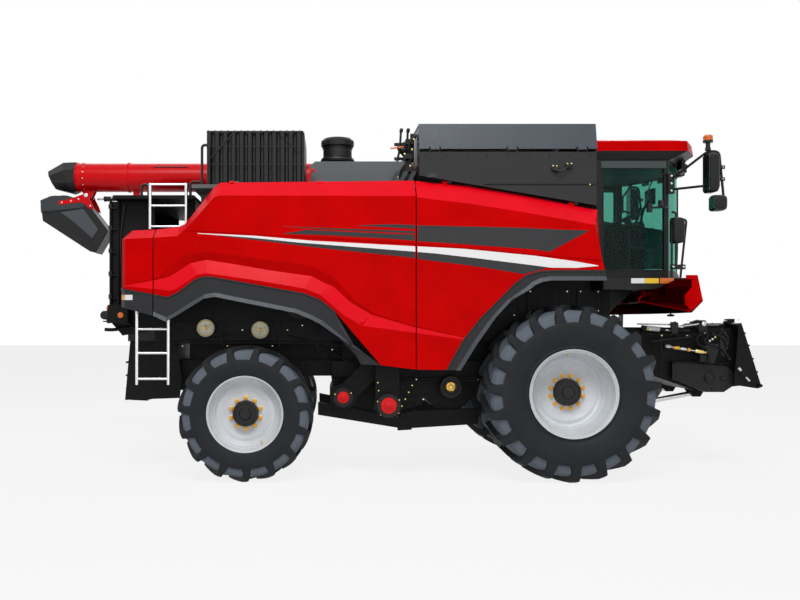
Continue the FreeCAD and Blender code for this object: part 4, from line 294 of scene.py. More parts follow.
# Lighter copy of the trim plastic for faces that lean up: painted highlight.
TRIM_PAINTED_HIGHLIGHT = coated("trim_painted_highlight", (0.055, 0.064, 0.075), 0.45, grain=0.3, specular=0.35, scale=1.4)
BLACK_PLASTIC = coated("black_plastic", (0.009, 0.0095, 0.0105), 0.42, grain=0.25, specular=0.3)
GREY_PLASTIC = coated("grey_plastic", (0.04, 0.047, 0.053), 0.45, grain=0.25, specular=0.35)
RIM = coated("rim_paint", (0.74, 0.77, 0.8), 0.36, grain=0.03, specular=0.5, dust=0.05)
IRON = coated("cast_metal", (0.02, 0.02, 0.021), 0.6, grain=0.5, specular=0.4, dust=0.15)
GOLD = coated("zinc_yellow", (0.72, 0.4, 0.07), 0.34, grain=0.05, metallic=0.85)
BRASS = coated("brass_fitting", (0.8, 0.62, 0.24), 0.3, grain=0.04, metallic=0.9)
CREAM = coated("cream_paint", (0.96, 0.93, 0.72), 0.42, grain=0.03)
YELLOW = coated("yellow_paint", (0.75, 0.52, 0.06), 0.4, grain=0.03)
HUB_RED = coated("hub_red", (0.86, 0.004, 0.006), 0.33, grain=0.02, specular=0.3)
# White stripe decal that glows faintly though it is no lamp: painted light.
STRIPE_WHITE_PAINTED_GLOW = glowing("stripe_white", (0.95, 0.95, 0.95), 0.12)
STRIPE_BLACK = coated("stripe_black", (0.026, 0.027, 0.029), 0.4, specular=0.3)
# White, yellow and orange for reflectors, markers and white parts, glowing faintly though they are no lamps:
# painted light.
WHITE_PAINTED_GLOW = glowing("white_painted_glow", (0.9, 0.9, 0.9), 0.1)
AMBER = glowing("amber_lens", (0.82, 0.17, 0.01), 0.12)
MARKER_YELLOW_PAINTED_GLOW = glowing("marker_yellow_painted_glow", (0.95, 0.6, 0.002), 0.15)
MARKER_ORANGE_PAINTED_GLOW = glowing("marker_orange_painted_glow", (0.92, 0.4, 0.01), 0.1)
RED_LENS = glowing("red_lens", (0.6, 0.005, 0.005), 0.05)
LAMP_GLASS = glowing("lamp_glass", (0.75, 0.78, 0.8), 0.1)
ALUMINIUM = brushed("ladder_metal", (0.82, 0.83, 0.85), 0.3, "z")
STEEL = brushed("bright_steel", (0.62, 0.63, 0.65), 0.24, "x")
MIRROR = brushed("mirror_glass", (0.2, 0.205, 0.215), 0.22, "z")
DARK_GLASS = coated("dark_glass", (0.02, 0.024, 0.028), 0.14, specular=0.5)
TYRE = rubber("tyre_rubber", (0.014, 0.016, 0.019), 0.1)
# Pale bluish rubber for the ground between the tread bars: painted highlight from light above, with the rubber's
# bloom.
TREAD_FLOOR_PAINTED_HIGHLIGHT = rubber("tread_floor_painted_highlight", (0.15, 0.175, 0.21), 0.3)
HOSE = rubber("hose_rubber", (0.009, 0.009, 0.0095), 0.1)
CLOTH = woven("seat_cloth", (0.05, 0.052, 0.056), 0.006)
GLASS_EDGE = coated("glass_edge", (0.012, 0.03, 0.03), 0.12, specular=0.7)
LOWER_FILM = clear("lower_film", (0.055, 0.11, 0.10), 0.1)
LOWER_TINT = coated("lower_tint", (0.008, 0.012, 0.012), 0.6, specular=0.1)
SPOUT_PANEL = coated("spout_panel", (0.075, 0.086, 0.098), 0.4, grain=0.25, specular=0.4)
SCREEN = glowing("screen", (0.02, 0.03, 0.04), 0.0)
GLASS = clear("tinted_glass", (0.56, 0.83, 0.77), 0.1)


# ---------------------------------------------------------------- mesh helpers
WELD = 1e-6
ROUND_FROM = math.radians(40)  # edges sharper than this are rounded
CORNER_STEPS = 6
CUSHION_CORNERS = 24
# Housing from its seen face to its back: (share of the half depth, share of the outline).
CUSHION_PROFILE = ((-1.0, 0.93), (-0.9, 1.0), (0.2, 1.0), (0.62, 0.96), (0.86, 0.84), (1.0, 0.6))
PLACES_PER_METRE = 20000  # corners closer than one place count as one


def finish_mesh(name, bm, node, material, angle=35, bevel=0.0):
    """Turns a bmesh into a piece that rides on the body of a carried-over node."""
    bmesh.ops.remove_doubles(bm, verts=bm.verts, dist=WELD)
    bmesh.ops.recalc_face_normals(bm, faces=bm.faces)
    mesh = bpy.data.meshes.new(name)
    bm.to_mesh(mesh)
    bm.free()
    for polygon in mesh.polygons:
        polygon.use_smooth = True
    mesh.set_sharp_from_angle(angle=math.radians(angle))
    piece = bpy.data.objects.new(name, mesh)
    bpy.context.scene.collection.objects.link(piece)
    for each in material if isinstance(material, (list, tuple)) else [material]:
        mesh.materials.append(each)
    if bevel:
        rounding = piece.modifiers.new("edges", "BEVEL")
        rounding.width = bevel
        rounding.segments = 2
        rounding.limit_method = "ANGLE"
        rounding.angle_limit = ROUND_FROM
        rounding.harden_normals = True
    body = NODE_BODY[node]
    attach(piece, body)
    return piece


def add_faces(bm, rings, caps=True, material=0):
    """Skins rings of points, each with the same count, into faces. A list gives each band its material."""
    layers = [[bm.verts.new(p) for p in ring] for ring in rings]
    count = len(layers[0])
    bands = material if isinstance(material, list) else [material] * (len(layers) - 1)
    for a, b, number in zip(layers, layers[1:], bands):
        for i in range(count):
            j = (i + 1) % count
            bm.faces.new((a[i], a[j], b[j], b[i])).material_index = number
    if caps:
        bm.faces.new(list(reversed(layers[0]))).material_index = bands[0]
        bm.faces.new(layers[-1]).material_index = bands[-1]


def frame_of(direction):
    """Two unit vectors square to a direction."""
    axis = Vector(direction).normalized()
    side = axis.orthogonal().normalized()
    return side, axis.cross(side)


def circle(centre, direction, radius, count):
    side, up = frame_of(direction)
    points = []
    for k in range(count):
        a = 2 * math.pi * k / count
        points.append(Vector(centre) + radius * (math.cos(a) * side + math.sin(a) * up))
    return points


def turned(bm, profile, centre, direction, count=32, material=0, caps=True):
    """Solid of revolution: profile lists (distance along the axis, radius)."""
    axis = Vector(direction).normalized()
    rings = [circle(Vector(centre) + axis * along, axis, max(radius, 1e-5), count) for along, radius in profile]
    add_faces(bm, rings, caps, material)


def prism(bm, outline, axis, low, high, material=0):
    """Outline in the two other axes, drawn out along one axis."""
    def place(p, level):
        point = list(p)
        point.insert("xyz".index(axis), level)
        return Vector(point)
    add_faces(bm, [[place(p, low) for p in outline], [place(p, high) for p in outline]], material=material)


def block(bm, low, high, material=0, chamfer=0.0):
    """Box with chamfered upright edges. The two Y values may come in either order."""
    (x0, y0, z0), (x1, y1, z1) = low, high
    y0, y1 = sorted((y0, y1))
    c = min(chamfer, 0.45 * abs(x1 - x0), 0.45 * abs(y1 - y0))
    if c:
        outline = [
            (x0 + c, y0), (x1 - c, y0), (x1, y0 + c), (x1, y1 - c), (x1 - c, y1), (x0 + c, y1), (x0, y1 - c),
            (x0, y0 + c),
        ]
    else:
        outline = [(x0, y0), (x1, y0), (x1, y1), (x0, y1)]
    prism(bm, outline, "z", z0, z1, material)


def plate(bm, outline, near, far, material=0):
    """Flat plate drawn in the side view, X from the front axle."""
    prism(bm, [(AXLE_X + x, z) for x, z in outline], "y", min(near, far), max(near, far), material)


def smooth_path(points, steps=6):
    """Catmull-Rom curve through the points."""
    pts = [Vector(p) for p in points]
    if len(pts) < 3 or steps < 2:
        return pts
    ends = [2 * pts[0] - pts[1]] + pts + [2 * pts[-1] - pts[-2]]
    path = []
    for k in range(1, len(ends) - 2):
        a, b, c, d = ends[k - 1:k + 3]
        for s in range(steps):
            t = s / steps
            square, cube = 2 * a - 5 * b + 4 * c - d, 3 * b - a - 3 * c + d
            path.append(0.5 * (2 * b + (c - a) * t + square * t * t + cube * t ** 3))
    path.append(pts[-1])
    return path


def tube(bm, points, radius, count=10, steps=6, material=0):
    """Round bar or hose along a smooth path."""
    path = smooth_path(points, steps)
    side, up = frame_of(path[1] - path[0])
    rings = []
    for k, point in enumerate(path):
        ahead = path[min(k + 1, len(path) - 1)] - path[max(k - 1, 0)]
        axis = ahead.normalized()
        side = (side - axis * side.dot(axis)).normalized()
        up = axis.cross(side)
        rings.append([
            point + radius * (math.cos(2 * math.pi * i / count) * side + math.sin(2 * math.pi * i / count) * up)
            for i in range(count)
        ])
    add_faces(bm, rings, material=material)


def bolt(bm, centre, direction, size, material=0, washer=True):
    """Hexagon head with a washer and a chamfered crown."""
    axis = Vector(direction).normalized()
    start = Vector(centre)
    if washer:
        turned(bm, [
            (-0.2 * size, 1.15 * size), (0.12 * size, 1.15 * size), (0.16 * size, 1.05 * size)
        ], start, axis, 14, material)
    rings = [
        circle(start + axis * 0.1 * size, axis, size, 6),
        circle(start + axis * 0.62 * size, axis, size, 6),
        circle(start + axis * 0.76 * size, axis, 0.84 * size, 6),
    ]
    add_faces(bm, rings, material=material)


def bolts_along(bm, start, end, count, direction, size, material=0):
    """Row of evenly spaced bolts."""
    for k in range(count):
        bolt(bm, Vector(start).lerp(Vector(end), k / (count - 1)), direction, size, material)


def bolt_ring(bm, centre, radius, count, start, size, material=0):
    """Bolts in a ring round an axis along Y, with their heads to the machine's right."""
    for k in range(count):
        a = 2 * math.pi * k / count + start
        bolt(bm, centre + Vector((radius * math.cos(a), 0, radius * math.sin(a))), (0, -1, 0), size, material)


def bent(bm, points, radius, corner=0.05, count=10, material=0):
    """Tube with straight runs and rounded corners."""
    pts = [Vector(p) for p in points]
    path = [pts[0]]
    for a, b, c in zip(pts, pts[1:], pts[2:]):
        back, ahead = (a - b), (c - b)
        reach = min(corner, 0.45 * back.length, 0.45 * ahead.length)
        start, stop = b + back.normalized() * reach, b + ahead.normalized() * reach
        for k in range(CORNER_STEPS + 1):
            t = k / CORNER_STEPS
            path.append((1 - t) ** 2 * start + 2 * t * (1 - t) * b + t * t * stop)
    path.append(pts[-1])
    tube(bm, path, radius, count, 1, material)


def hoop(bm, centre, direction, radius, thickness, count=40, sides=10, material=0):
    """Ring of round section."""
    axis = Vector(direction).normalized()
    rings = []
    for point in circle(centre, axis, radius, count):
        out = (point - Vector(centre)).normalized()
        rings.append([
            point + thickness * (math.cos(2 * math.pi * k / sides) * out + math.sin(2 * math.pi * k / sides) * axis)
            for k in range(sides)
        ])
    add_faces(bm, rings + [rings[0]], caps=False, material=material)


def cushion_block(bm, low, high, axis, roundness=0.3, material=0):
    """Box with rounded corners and a domed back along one axis, for housings and lamps."""
    low, high = Vector(low), Vector(high)
    k = "xyz".index(axis)
    u, v = [n for n in range(3) if n != k]
    mid = (low + high) / 2
    half = (high - low) / 2
    corner = roundness * min(half[u], half[v])
    outline = []
    for turn in range(CUSHION_CORNERS):
        a = 2 * math.pi * turn / CUSHION_CORNERS
        su, sv = (1 if math.cos(a) >= 0 else -1), (1 if math.sin(a) >= 0 else -1)
        outline.append((
            su * (half[u] - corner) + corner * math.cos(a), sv * (half[v] - corner) + corner * math.sin(a)
        ))
    rings = []
    for share, grow in CUSHION_PROFILE:
        ring = []
        for a, b in outline:
            point = Vector(mid)
            point[k] += share * half[k]
            point[u] += a * grow
            point[v] += b * grow
            ring.append(point)
        rings.append(ring)
    add_faces(bm, rings, material=material)


def islands(node):
    """Face groups of a carried-over mesh that share no corner, found by place."""
    mesh = node.data
    place = {}
    root = list(range(len(mesh.vertices)))

    def find(i):
        while root[i] != i:
            root[i] = root[root[i]]
            i = root[i]
        return i

    for v in mesh.vertices:
        key = tuple(round(c * PLACES_PER_METRE) for c in v.co)
        if key in place:
            root[find(v.index)] = find(place[key])
        else:
            place[key] = v.index
    for e in mesh.edges:
        root[find(e.vertices[0])] = find(e.vertices[1])
    groups = {}
    for polygon in mesh.polygons:
        groups.setdefault(find(polygon.vertices[0]), []).append(polygon.index)
    found = []
    for faces in groups.values():
        points = [mesh.vertices[i].co for f in faces for i in mesh.polygons[f].vertices]
        low = Vector([min(p[k] for p in points) for k in range(3)])
        high = Vector([max(p[k] for p in points) for k in range(3)])
        found.append((faces, low, high))
    return found


def paint(node_name, *materials):
    """Gives a carried-over node its materials. The first covers it all."""
    node = NODES[node_name]
    node.data.materials.clear()
    for each in materials:
        node.data.materials.append(each)
    for polygon in node.data.polygons:
        polygon.material_index = 0
    return node


def paint_islands(node_name, materials, choose):
    """choose(low, high) gives each separate solid of the node a material number."""
    node = paint(node_name, *materials)
    for faces, low, high in islands(node):
        number = choose(low, high)
        for f in faces:
            node.data.polygons[f].material_index = number
    return node


# ---------------------------------------------------------------- carried-over pieces
# Finish of each carried-over node that has one finish all over.
PLAIN = (
    (RED_TUBE, "auger_turret auger_tube"),
    (BLACK_PLASTIC, (
        "auger_boot spout air_precleaner handrails mirrors radiator_housing tank_cover_linkage "
        "work_lights"
    )),
    (DARK, "cab_frame cab_door feeder_drive_cover lift_barrels platform steering_rod"),
    (GLASS, "cab_glass cab_door_glass"),
    (CHASSIS, (
        "cleaning_shoe feeder_house front_axle header_frame main_frame rear_axle rear_hood "
        "rear_walkway separator_body straw_chopper elevators"
    )),
    (IRON, "engine_block knuckle_left knuckle_right"),
    (DECK_GREY, "engine_deck"),
    (ALUMINIUM, "entry_ladder service_ladders"),
    (STEEL, "feeder_conveyor lift_rods"),
    (TANK_GREY, "grain_tank"),
    (RIM, "rim_front_left rim_front_right rim_rear_left rim_rear_right"),
    (COVER_GREY, "tank_cover_left tank_cover_right"),
    (AMBER, "beacons"),
    (CLOTH, "cab_interior"),
    (TYRE, "tyre_front_left tyre_front_right tyre_rear_left tyre_rear_right"),
)
for material, names in PLAIN:
    for name in names.split():
        paint(name, material)


def is_trim(low, high):
    """Trim stands proud of the sheet it frames."""
    return 1 if max(abs(low.y), abs(high.y)) > DOOR_SIDE + 0.0045 else 0


LEAN = 0.13  # upward share of a face's normal from which it counts as leaning


def paint_highlight_and_shade_by_slope(name, pairs):
    """Faces that lean up take the lighter copy of their own material, a painted highlight, and faces that lean down
    the darker copy, painted shade.
    """
    node = NODES[name]
    for polygon in node.data.polygons:
        lit, shaded = pairs.get(polygon.material_index, (None, None))
        if lit is not None and polygon.normal.z > LEAN:
            polygon.material_index = lit
        elif shaded is not None and polygon.normal.z < -LEAN:
            polygon.material_index = shaded


# Red and trim faces that lean up take their painted-highlight copies.
for name in ("rear_door_right", "rear_door_left", "front_door_right", "front_door_left", "rear_corners"):
    paint_islands(name, (RED, TRIM, RED_PAINTED_HIGHLIGHT, TRIM_PAINTED_HIGHLIGHT), is_trim)
    paint_highlight_and_shade_by_slope(name, {0: (2, None), 1: (3, None)})
# The nose's upward faces take the painted highlight and its downward faces the near-black painted shade.
paint("nose_panel", RED, RED_PAINTED_HIGHLIGHT, RED_PAINTED_SHADE)
paint_highlight_and_shade_by_slope("nose_panel", {0: (1, 2)})
# The roof's upward faces take the painted highlight, and its downward faces take black plastic as painted shade.
paint("cab_roof", RED, RED_PAINTED_HIGHLIGHT, BLACK_PLASTIC)
paint_highlight_and_shade_by_slope("cab_roof", {0: (1, 2)})


REAR_DRIVE_X = -3.15


def pulley_finish(low, high):
    """Cream wheels at the rear of the right side, dark casings on the lower drives."""
    mid = (low + high) / 2
    return 0 if mid.y < 0 and mid.x - AXLE_X < REAR_DRIVE_X else 1


paint_islands("drive_pulleys", (CREAM, DARK), pulley_finish)


# ---------------------------------------------------------------- wheels
# Tyre section: (share of the half width, share of the radius) from the bead to the middle of the tread.
SIDEWALL = [
    (0.80, 0.467), (0.845, 0.500), (0.862, 0.520), (0.85, 0.538), (0.90, 0.570), (0.945, 0.625), (0.975, 0.69),
    (0.985, 0.745), (0.98, 0.790), (0.965, 0.800),
]
TREAD = [(0.905, 0.808), (0.885, 0.85), (0.85, 0.892), (0.76, 0.922), (0.50, 0.936), (0.20, 0.940)]
# Bar of the tread, middle to sidewall: outer and inner (half width, radius) shares, lead in pitches,
# half thicknesses.
BAR = [
    (-0.06, 1.000, -0.06, 0.930, 0.66, 0.026, 0.036),
    (0.22, 1.000, 0.22, 0.930, 0.48, 0.028, 0.038),
    (0.50, 0.998, 0.50, 0.925, 0.28, 0.031, 0.042),
    (0.77, 0.992, 0.74, 0.912, 0.11, 0.035, 0.047),
    (0.925, 0.972, 0.83, 0.885, 0.02, 0.038, 0.052),
    (0.962, 0.915, 0.86, 0.865, 0.0, 0.042, 0.056),
    (0.975, 0.850, 0.88, 0.830, 0.0, 0.047, 0.060),
    (0.982, 0.792, 0.91, 0.782, 0.0, 0.062, 0.074),
]


FLOOR_FROM = 0.799  # share of the radius from which the ground between the bars begins
BEAD_SHARE = 0.466  # bead radius as a share of the rim's diameter
BAR_RADIUS = 0.95  # tyre radius that the bars' thicknesses are given for


def tyre_piece(node, lugs):
    """Field tyre: carcass of revolution under two rows of curved bars that lead at the middle."""
    low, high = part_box(node)
    hub = (low + high) / 2
    radius = (high.z - low.z) / 2
    half = (high.y - low.y) / 2
    bm = bmesh.new()
    rim_low, rim_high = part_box(node.replace("tyre", "rim"))
    bore = BEAD_SHARE * (rim_high.z - rim_low.z)
    outer = [(half * a, max(radius * r, bore)) for a, r in SIDEWALL + TREAD]
    profile = outer + [(-a, r) for a, r in reversed(outer)]
    profile.append(profile[0])
    # Bands beyond FLOOR_FROM take the pale tread-floor rubber, a painted highlight.
    bands = []
    for (_, r), (_, q) in zip(profile, profile[1:]):
        bands.append(1 if min(r, q) > FLOOR_FROM * radius else 0)
    turned(bm, profile, hub, (0, 1, 0), 120, bands, caps=False)
    pitch = 2 * math.pi / lugs
    scale = radius / BAR_RADIUS
    for row in (-1, 1):
        for k in range(lugs):
            start = pitch * (k + (0.25 if row > 0 else -0.25))
            rings = []
            for out, r_out, base, r_base, lead, thick, thick_base in BAR:
                turn = start + pitch * (lead - 0.33)
                shoulder, r_shoulder = 0.86 * out + 0.14 * base, 0.86 * r_out + 0.14 * r_base
                ring = []
                for y, r, across in (
                    (out, r_out, thick - 0.006), (shoulder, r_shoulder, thick), (base, r_base, thick_base),
                    (base, r_base, -thick_base), (shoulder, r_shoulder, -thick), (out, r_out, 0.006 - thick),
                ):
                    a = turn + across * scale / (r * radius)
                    reach = r * radius * (0.9995 if y == out else 1)
                    ring.append(hub + Vector((reach * math.sin(a), row * y * half, reach * math.cos(a))))
                rings.append(ring)
            add_faces(bm, rings)
    piece = finish_mesh("lugged_" + node, bm, node, (TYRE, TREAD_FLOOR_PAINTED_HIGHLIGHT), angle=28)
    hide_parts(node)


# Seen face of a rim: (share of the disc's depth, share of the radius), lip to hub.
RIM_FACE = [
    (0.000, 1.000), (0.000, 0.974), (0.026, 0.958), (0.075, 0.951), (0.100, 0.934), (0.200, 0.918), (0.335, 0.913),
    (0.420, 0.905), (0.470, 0.880), (0.570, 0.859), (0.670, 0.852), (0.720, 0.833), (0.755, 0.808), (0.820, 0.793),
    (0.875, 0.787), (0.945, 0.770), (0.970, 0.741), (0.960, 0.712), (0.925, 0.678), (0.925, 0.642), (0.960, 0.610),
    (0.985, 0.568), (1.000, 0.500), (1.000, 0.300),
]


FRONT_NUTS = 12


def rim_piece(node, side, inset, nuts, nut_circle, cap_radius, cap_reach):
    """Painted rim with rolled lip, stepped barrel and crowned disc, its nuts, valve and black hub cap."""
    low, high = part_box(node)
    hub = (low + high) / 2
    radius = (high.z - low.z) / 2
    width = high.y - low.y
    face_y = high.y if side > 0 else low.y
    centre = Vector((hub.x, face_y, hub.z))
    out = (0, side, 0)
    bm = bmesh.new()
    face = [(-inset * d, radius * r) for d, r in RIM_FACE]
    back = [
        (-inset - 0.014, 0.300 * radius), (-inset - 0.014, 0.56 * radius), (-inset * 0.97 - 0.014, 0.76 * radius)
    ]
    back += [
        (-width * 0.68, 0.80 * radius), (-width * 0.76, 0.895 * radius), (-width + 0.014, 0.90 * radius),
        (-width, 0.905 * radius),
        (-width, radius), (-width + 0.014, radius), (-width + 0.014, 0.929 * radius),
        (-width * 0.78, 0.929 * radius),
        (-width * 0.70, 0.83 * radius), (-width * 0.30, 0.83 * radius), (-width * 0.22, 0.929 * radius),
        (-0.014, 0.929 * radius),
        (-0.014, radius), (0, radius),
    ]
    turned(bm, face + back, centre, out, 96, caps=False)
    piece = finish_mesh("painted_" + node, bm, node, RIM, angle=50)
    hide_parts(node)

    bm = bmesh.new()
    floor = centre - Vector(out) * inset
    for k in range(nuts):
        turn = 2 * math.pi * (k + 0.5 * (nuts == FRONT_NUTS)) / nuts
        spot = floor + Vector((nut_circle * math.sin(turn), 0, nut_circle * math.cos(turn)))
        turned(bm, [(-0.004, 0.026), (0.005, 0.026), (0.007, 0.023)], spot, out, 18)
        bolt(bm, spot + Vector(out) * 0.006, out, 0.019, washer=False)
        turned(bm, [(0.01, 0.011), (0.034, 0.011), (0.037, 0.008)], spot, out, 12)
    finish_mesh("nuts_" + node, bm, node, GOLD, angle=30)

    bm = bmesh.new()
    c = cap_radius
    turned(bm, [
        (-0.016, 0.302 * radius), (0.004, 0.302 * radius), (0.004, c + 0.003), (0.012, c),
        (cap_reach - 0.016, c * 0.985), (cap_reach - 0.008, c * 0.965),
        (cap_reach - 0.008, c * 0.80), (cap_reach - 0.014, c * 0.77), (cap_reach - 0.014, c * 0.5),
        (cap_reach - 0.008, c * 0.46), (cap_reach, c * 0.40), (cap_reach, 0.0),
    ], floor, out, 56)
    for k in range(6):
        turn = math.pi / 3 * k + 0.3
        spot = floor + Vector(out) * (cap_reach - 0.008) + Vector((
            0.885 * c * math.sin(turn), 0, 0.885 * c * math.cos(turn)
        ))
        bolt(bm, spot, out, 0.008)
    finish_mesh("hub_cap_" + node, bm, node, BLACK_PLASTIC, angle=32)

    bm = bmesh.new()
    turn = -0.12 if nuts == FRONT_NUTS else 2.6
    spot = centre + Vector((0.9 * radius * math.sin(turn), -side * inset * 0.4, 0.9 * radius * math.cos(turn)))
    inward = Vector((-math.sin(turn), 0.9 * side, -math.cos(turn)))
    turned(bm, [
        (-0.012, 0.012), (0.006, 0.012), (0.009, 0.007), (0.034, 0.006), (0.036, 0.008), (0.048, 0.008),
        (0.05, 0.006),
    ], spot, inward, 14)
    finish_mesh("valve_" + node, bm, node, BRASS, angle=30)


for word, side in SIDES:
    tyre_piece("tyre_front_" + word, 19)
    tyre_piece("tyre_rear_" + word, 15)
    rim_piece("rim_front_" + word, side, 0.300, FRONT_NUTS, 0.180, 0.147, 0.072)
    rim_piece("rim_rear_" + word, side, 0.125, 10, 0.163, 0.138, 0.082)


# ---------------------------------------------------------------- mirrors and beacons
def mirror_piece():
    """Both mirror carriers with their housings, glasses and clamps."""
    bm = bmesh.new()
    for side in (-1, 1):
        y0, y1 = 0.86 * side, MIRROR_Y * side
        bent(bm, [at(1.27, y0, 3.325), at(1.52, y1, 3.565), at(1.64, y1, 3.56), at(1.70, y1, 2.96)], 0.014)
        bent(bm, [at(1.27, y0, 3.205), at(1.545, y1, 3.195), at(1.66, y1, 3.27)], 0.014, 0.03)
        block(bm, at(1.22, 0.80 * side, 3.16), at(1.30, 0.875 * side, 3.385), 0, 0.012)
        for z in (3.19, 3.27, 3.355):
            bolt(bm, at(1.26, 0.875 * side, z), (0, side, 0), 0.011, 2)
        turned(bm, [(0.0, 0.03), (0.03, 0.03), (0.035, 0.024), (0.085, 0.024)], at(1.52, y1, 3.57), (0, 0, 1), 20)
        cushion_block(bm, at(1.503, y1 - 0.098, 3.112), at(1.622, y1 + 0.098, 3.54), "x", 0.55)
        cushion_block(bm, at(1.565, y1 - 0.09, 2.915), at(1.705, y1 + 0.09, 3.085), "x", 0.6)
        block(bm, at(1.4985, y1 - 0.082, 3.135), at(1.5045, y1 + 0.082, 3.517), 1)
        block(bm, at(1.5605, y1 - 0.074, 2.935), at(1.5665, y1 + 0.074, 3.065), 1)
        for z in (3.39, 3.26, 3.0):
            block(bm, at(1.60, y1 - 0.02, z - 0.018), at(1.70, y1 + 0.02, z + 0.018), 0, 0.006)
            bolt(bm, at(1.676, y1 - 0.02, z), (0, -1, 0), 0.007, 2)
    piece = finish_mesh("mirror_set", bm, "mirrors", (BLACK_PLASTIC, MIRROR, STEEL), bevel=0.002)
    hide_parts("mirrors")


def beacon_piece():
    """Turning beacons: ribbed amber lens over a black foot with a rubber ring."""
    bm = bmesh.new()
    for side in (-1, 1):
        foot = at(1.52, MIRROR_Y * side, 3.657)
        turned(bm, [(0.0, 0.05), (0.004, 0.052), (0.02, 0.052), (0.026, 0.047)], foot, (0, 0, 1), 36)
        profile = [(0.024, 0.049), (0.03, 0.0505)]
        for k in range(5):
            z = 0.032 + 0.007 * k
            profile += [(z, 0.0505), (z + 0.0035, 0.048)]
        profile += [(0.068, 0.049), (0.076, 0.044), (0.082, 0.033), (0.086, 0.014)]
        turned(bm, profile, foot, (0, 0, 1), 36, 1)
    piece = finish_mesh("beacon_set", bm, "beacons", (BLACK_PLASTIC, AMBER), angle=50)
    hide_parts("beacons")


mirror_piece()
beacon_piece()


# ---------------------------------------------------------------- cab interior
SEAT_X = 0.80
PAD_GRID = 22
PAD_HALF_LAYERS = 3


def padded_block(name, centre, size, lean, crown, grooves, bolster):
    """Foam pad under cloth: domed faces, raised side bolsters and pulled-in seams."""
    sx, sy, sz = size
    turn = Matrix.Rotation(lean, 3, "Y")
    bm = bmesh.new()
    n = PAD_GRID
    layers = []
    for step in range(-PAD_HALF_LAYERS, PAD_HALF_LAYERS + 1):
        w = step / PAD_HALF_LAYERS
        pinch = 1 - abs(w) ** 2.6 * 0.075
        grid = []
        for i in range(n + 1):
            row = []
            for j in range(n + 1):
                u, v = 2 * i / n - 1, 2 * j / n - 1
                dome = crown * (1 - u ** 4) * (1 - v ** 4)
                side_lift = bolster * math.exp(-((abs(v) - 0.8) / 0.13) ** 2) * (1 - u ** 6)
                seam = 0.0
                for g in grooves:
                    seam += 0.009 * math.exp(-((u - g) / 0.035) ** 2) * (1 if abs(v) < 0.66 else 0.2)
                seam += 0.008 * math.exp(-((abs(v) - 0.64) / 0.03) ** 2)
                rise = (dome + side_lift - seam) * w if w > 0 else dome * 0.3 * w
                corner = 1 - 0.05 * (abs(u) ** 8) * (abs(v) ** 8)
                row.append(Vector((u * sx / 2 * pinch * corner, v * sy / 2 * pinch * corner, w * sz / 2 + rise)))
            grid.append(row)
        layers.append(grid)

    def place(p):
        return Vector(centre) + turn @ p

    top = [[bm.verts.new(place(p)) for p in row] for row in layers[-1]]
    under = [[bm.verts.new(place(p)) for p in row] for row in layers[0]]
    for i in range(n):
        for j in range(n):
            bm.faces.new((top[i][j], top[i + 1][j], top[i + 1][j + 1], top[i][j + 1]))
            bm.faces.new((under[i][j], under[i][j + 1], under[i + 1][j + 1], under[i + 1][j]))
    border = [(i, 0) for i in range(n)] + [(n, j) for j in range(n)]
    border += [(i, n) for i in range(n, 0, -1)] + [(0, j) for j in range(n, 0, -1)]
    rims = [[under[i][j] for i, j in border]]
    for layer in layers[1:-1]:
        rims.append([bm.verts.new(place(layer[i][j])) for i, j in border])
    rims.append([top[i][j] for i, j in border])
    for a, b in zip(rims, rims[1:]):
        for k in range(len(border)):
            m = (k + 1) % len(border)
            bm.faces.new((a[k], a[m], b[m], b[k]))
    piece = finish_mesh(name, bm, "cab_interior", CLOTH, angle=80)
    smooth = piece.modifiers.new("soft", "SUBSURF")
    smooth.levels = 1
    smooth.render_levels = 1
    return piece


def seat_frame(bm):
    """Pedestal with its bellows, pan, back shell, headrest stalks and armrests."""
    x = SEAT_X
    block(bm, at(x - 0.17, -0.19, CAB_FLOOR), at(x + 0.17, 0.19, 2.30), 0, 0.02)
    for k in range(5):
        z = 2.30 + 0.036 * k
        grow = 0.012 if k % 2 else 0.0
        block(bm, at(x - 0.15 - grow, -0.16 - grow, z), at(x + 0.15 + grow, 0.16 + grow, z + 0.036), 1, 0.02)
    block(bm, at(x - 0.21, -0.22, 2.48), at(x + 0.21, 0.22, 2.524), 0, 0.03)
    plate(bm, [(x - 0.262, 2.60), (x - 0.225, 2.60), (x - 0.285, 3.22), (x - 0.31, 3.20)], -0.2, 0.2)
    for y in (-0.06, 0.06):
        tube(bm, [at(x - 0.272, y, 3.22), at(x - 0.268, y, 3.34)], 0.007, 8, 1, 2)
    for side in (-1, 1):
        y = 0.302 * side
        plate(bm, [
            (x - 0.22, 2.802), (x + 0.2, 2.815), (x + 0.22, 2.835), (x + 0.19, 2.852), (x - 0.2, 2.848),
            (x - 0.235, 2.83),
        ], y - 0.036, y + 0.036, 1)
        tube(bm, [
            at(x - 0.215, y - 0.03 * side, 2.82), at(x - 0.232, 0.25 * side, 2.76),
            at(x - 0.235, 0.225 * side, 2.70),
        ], 0.016, 8, 4)


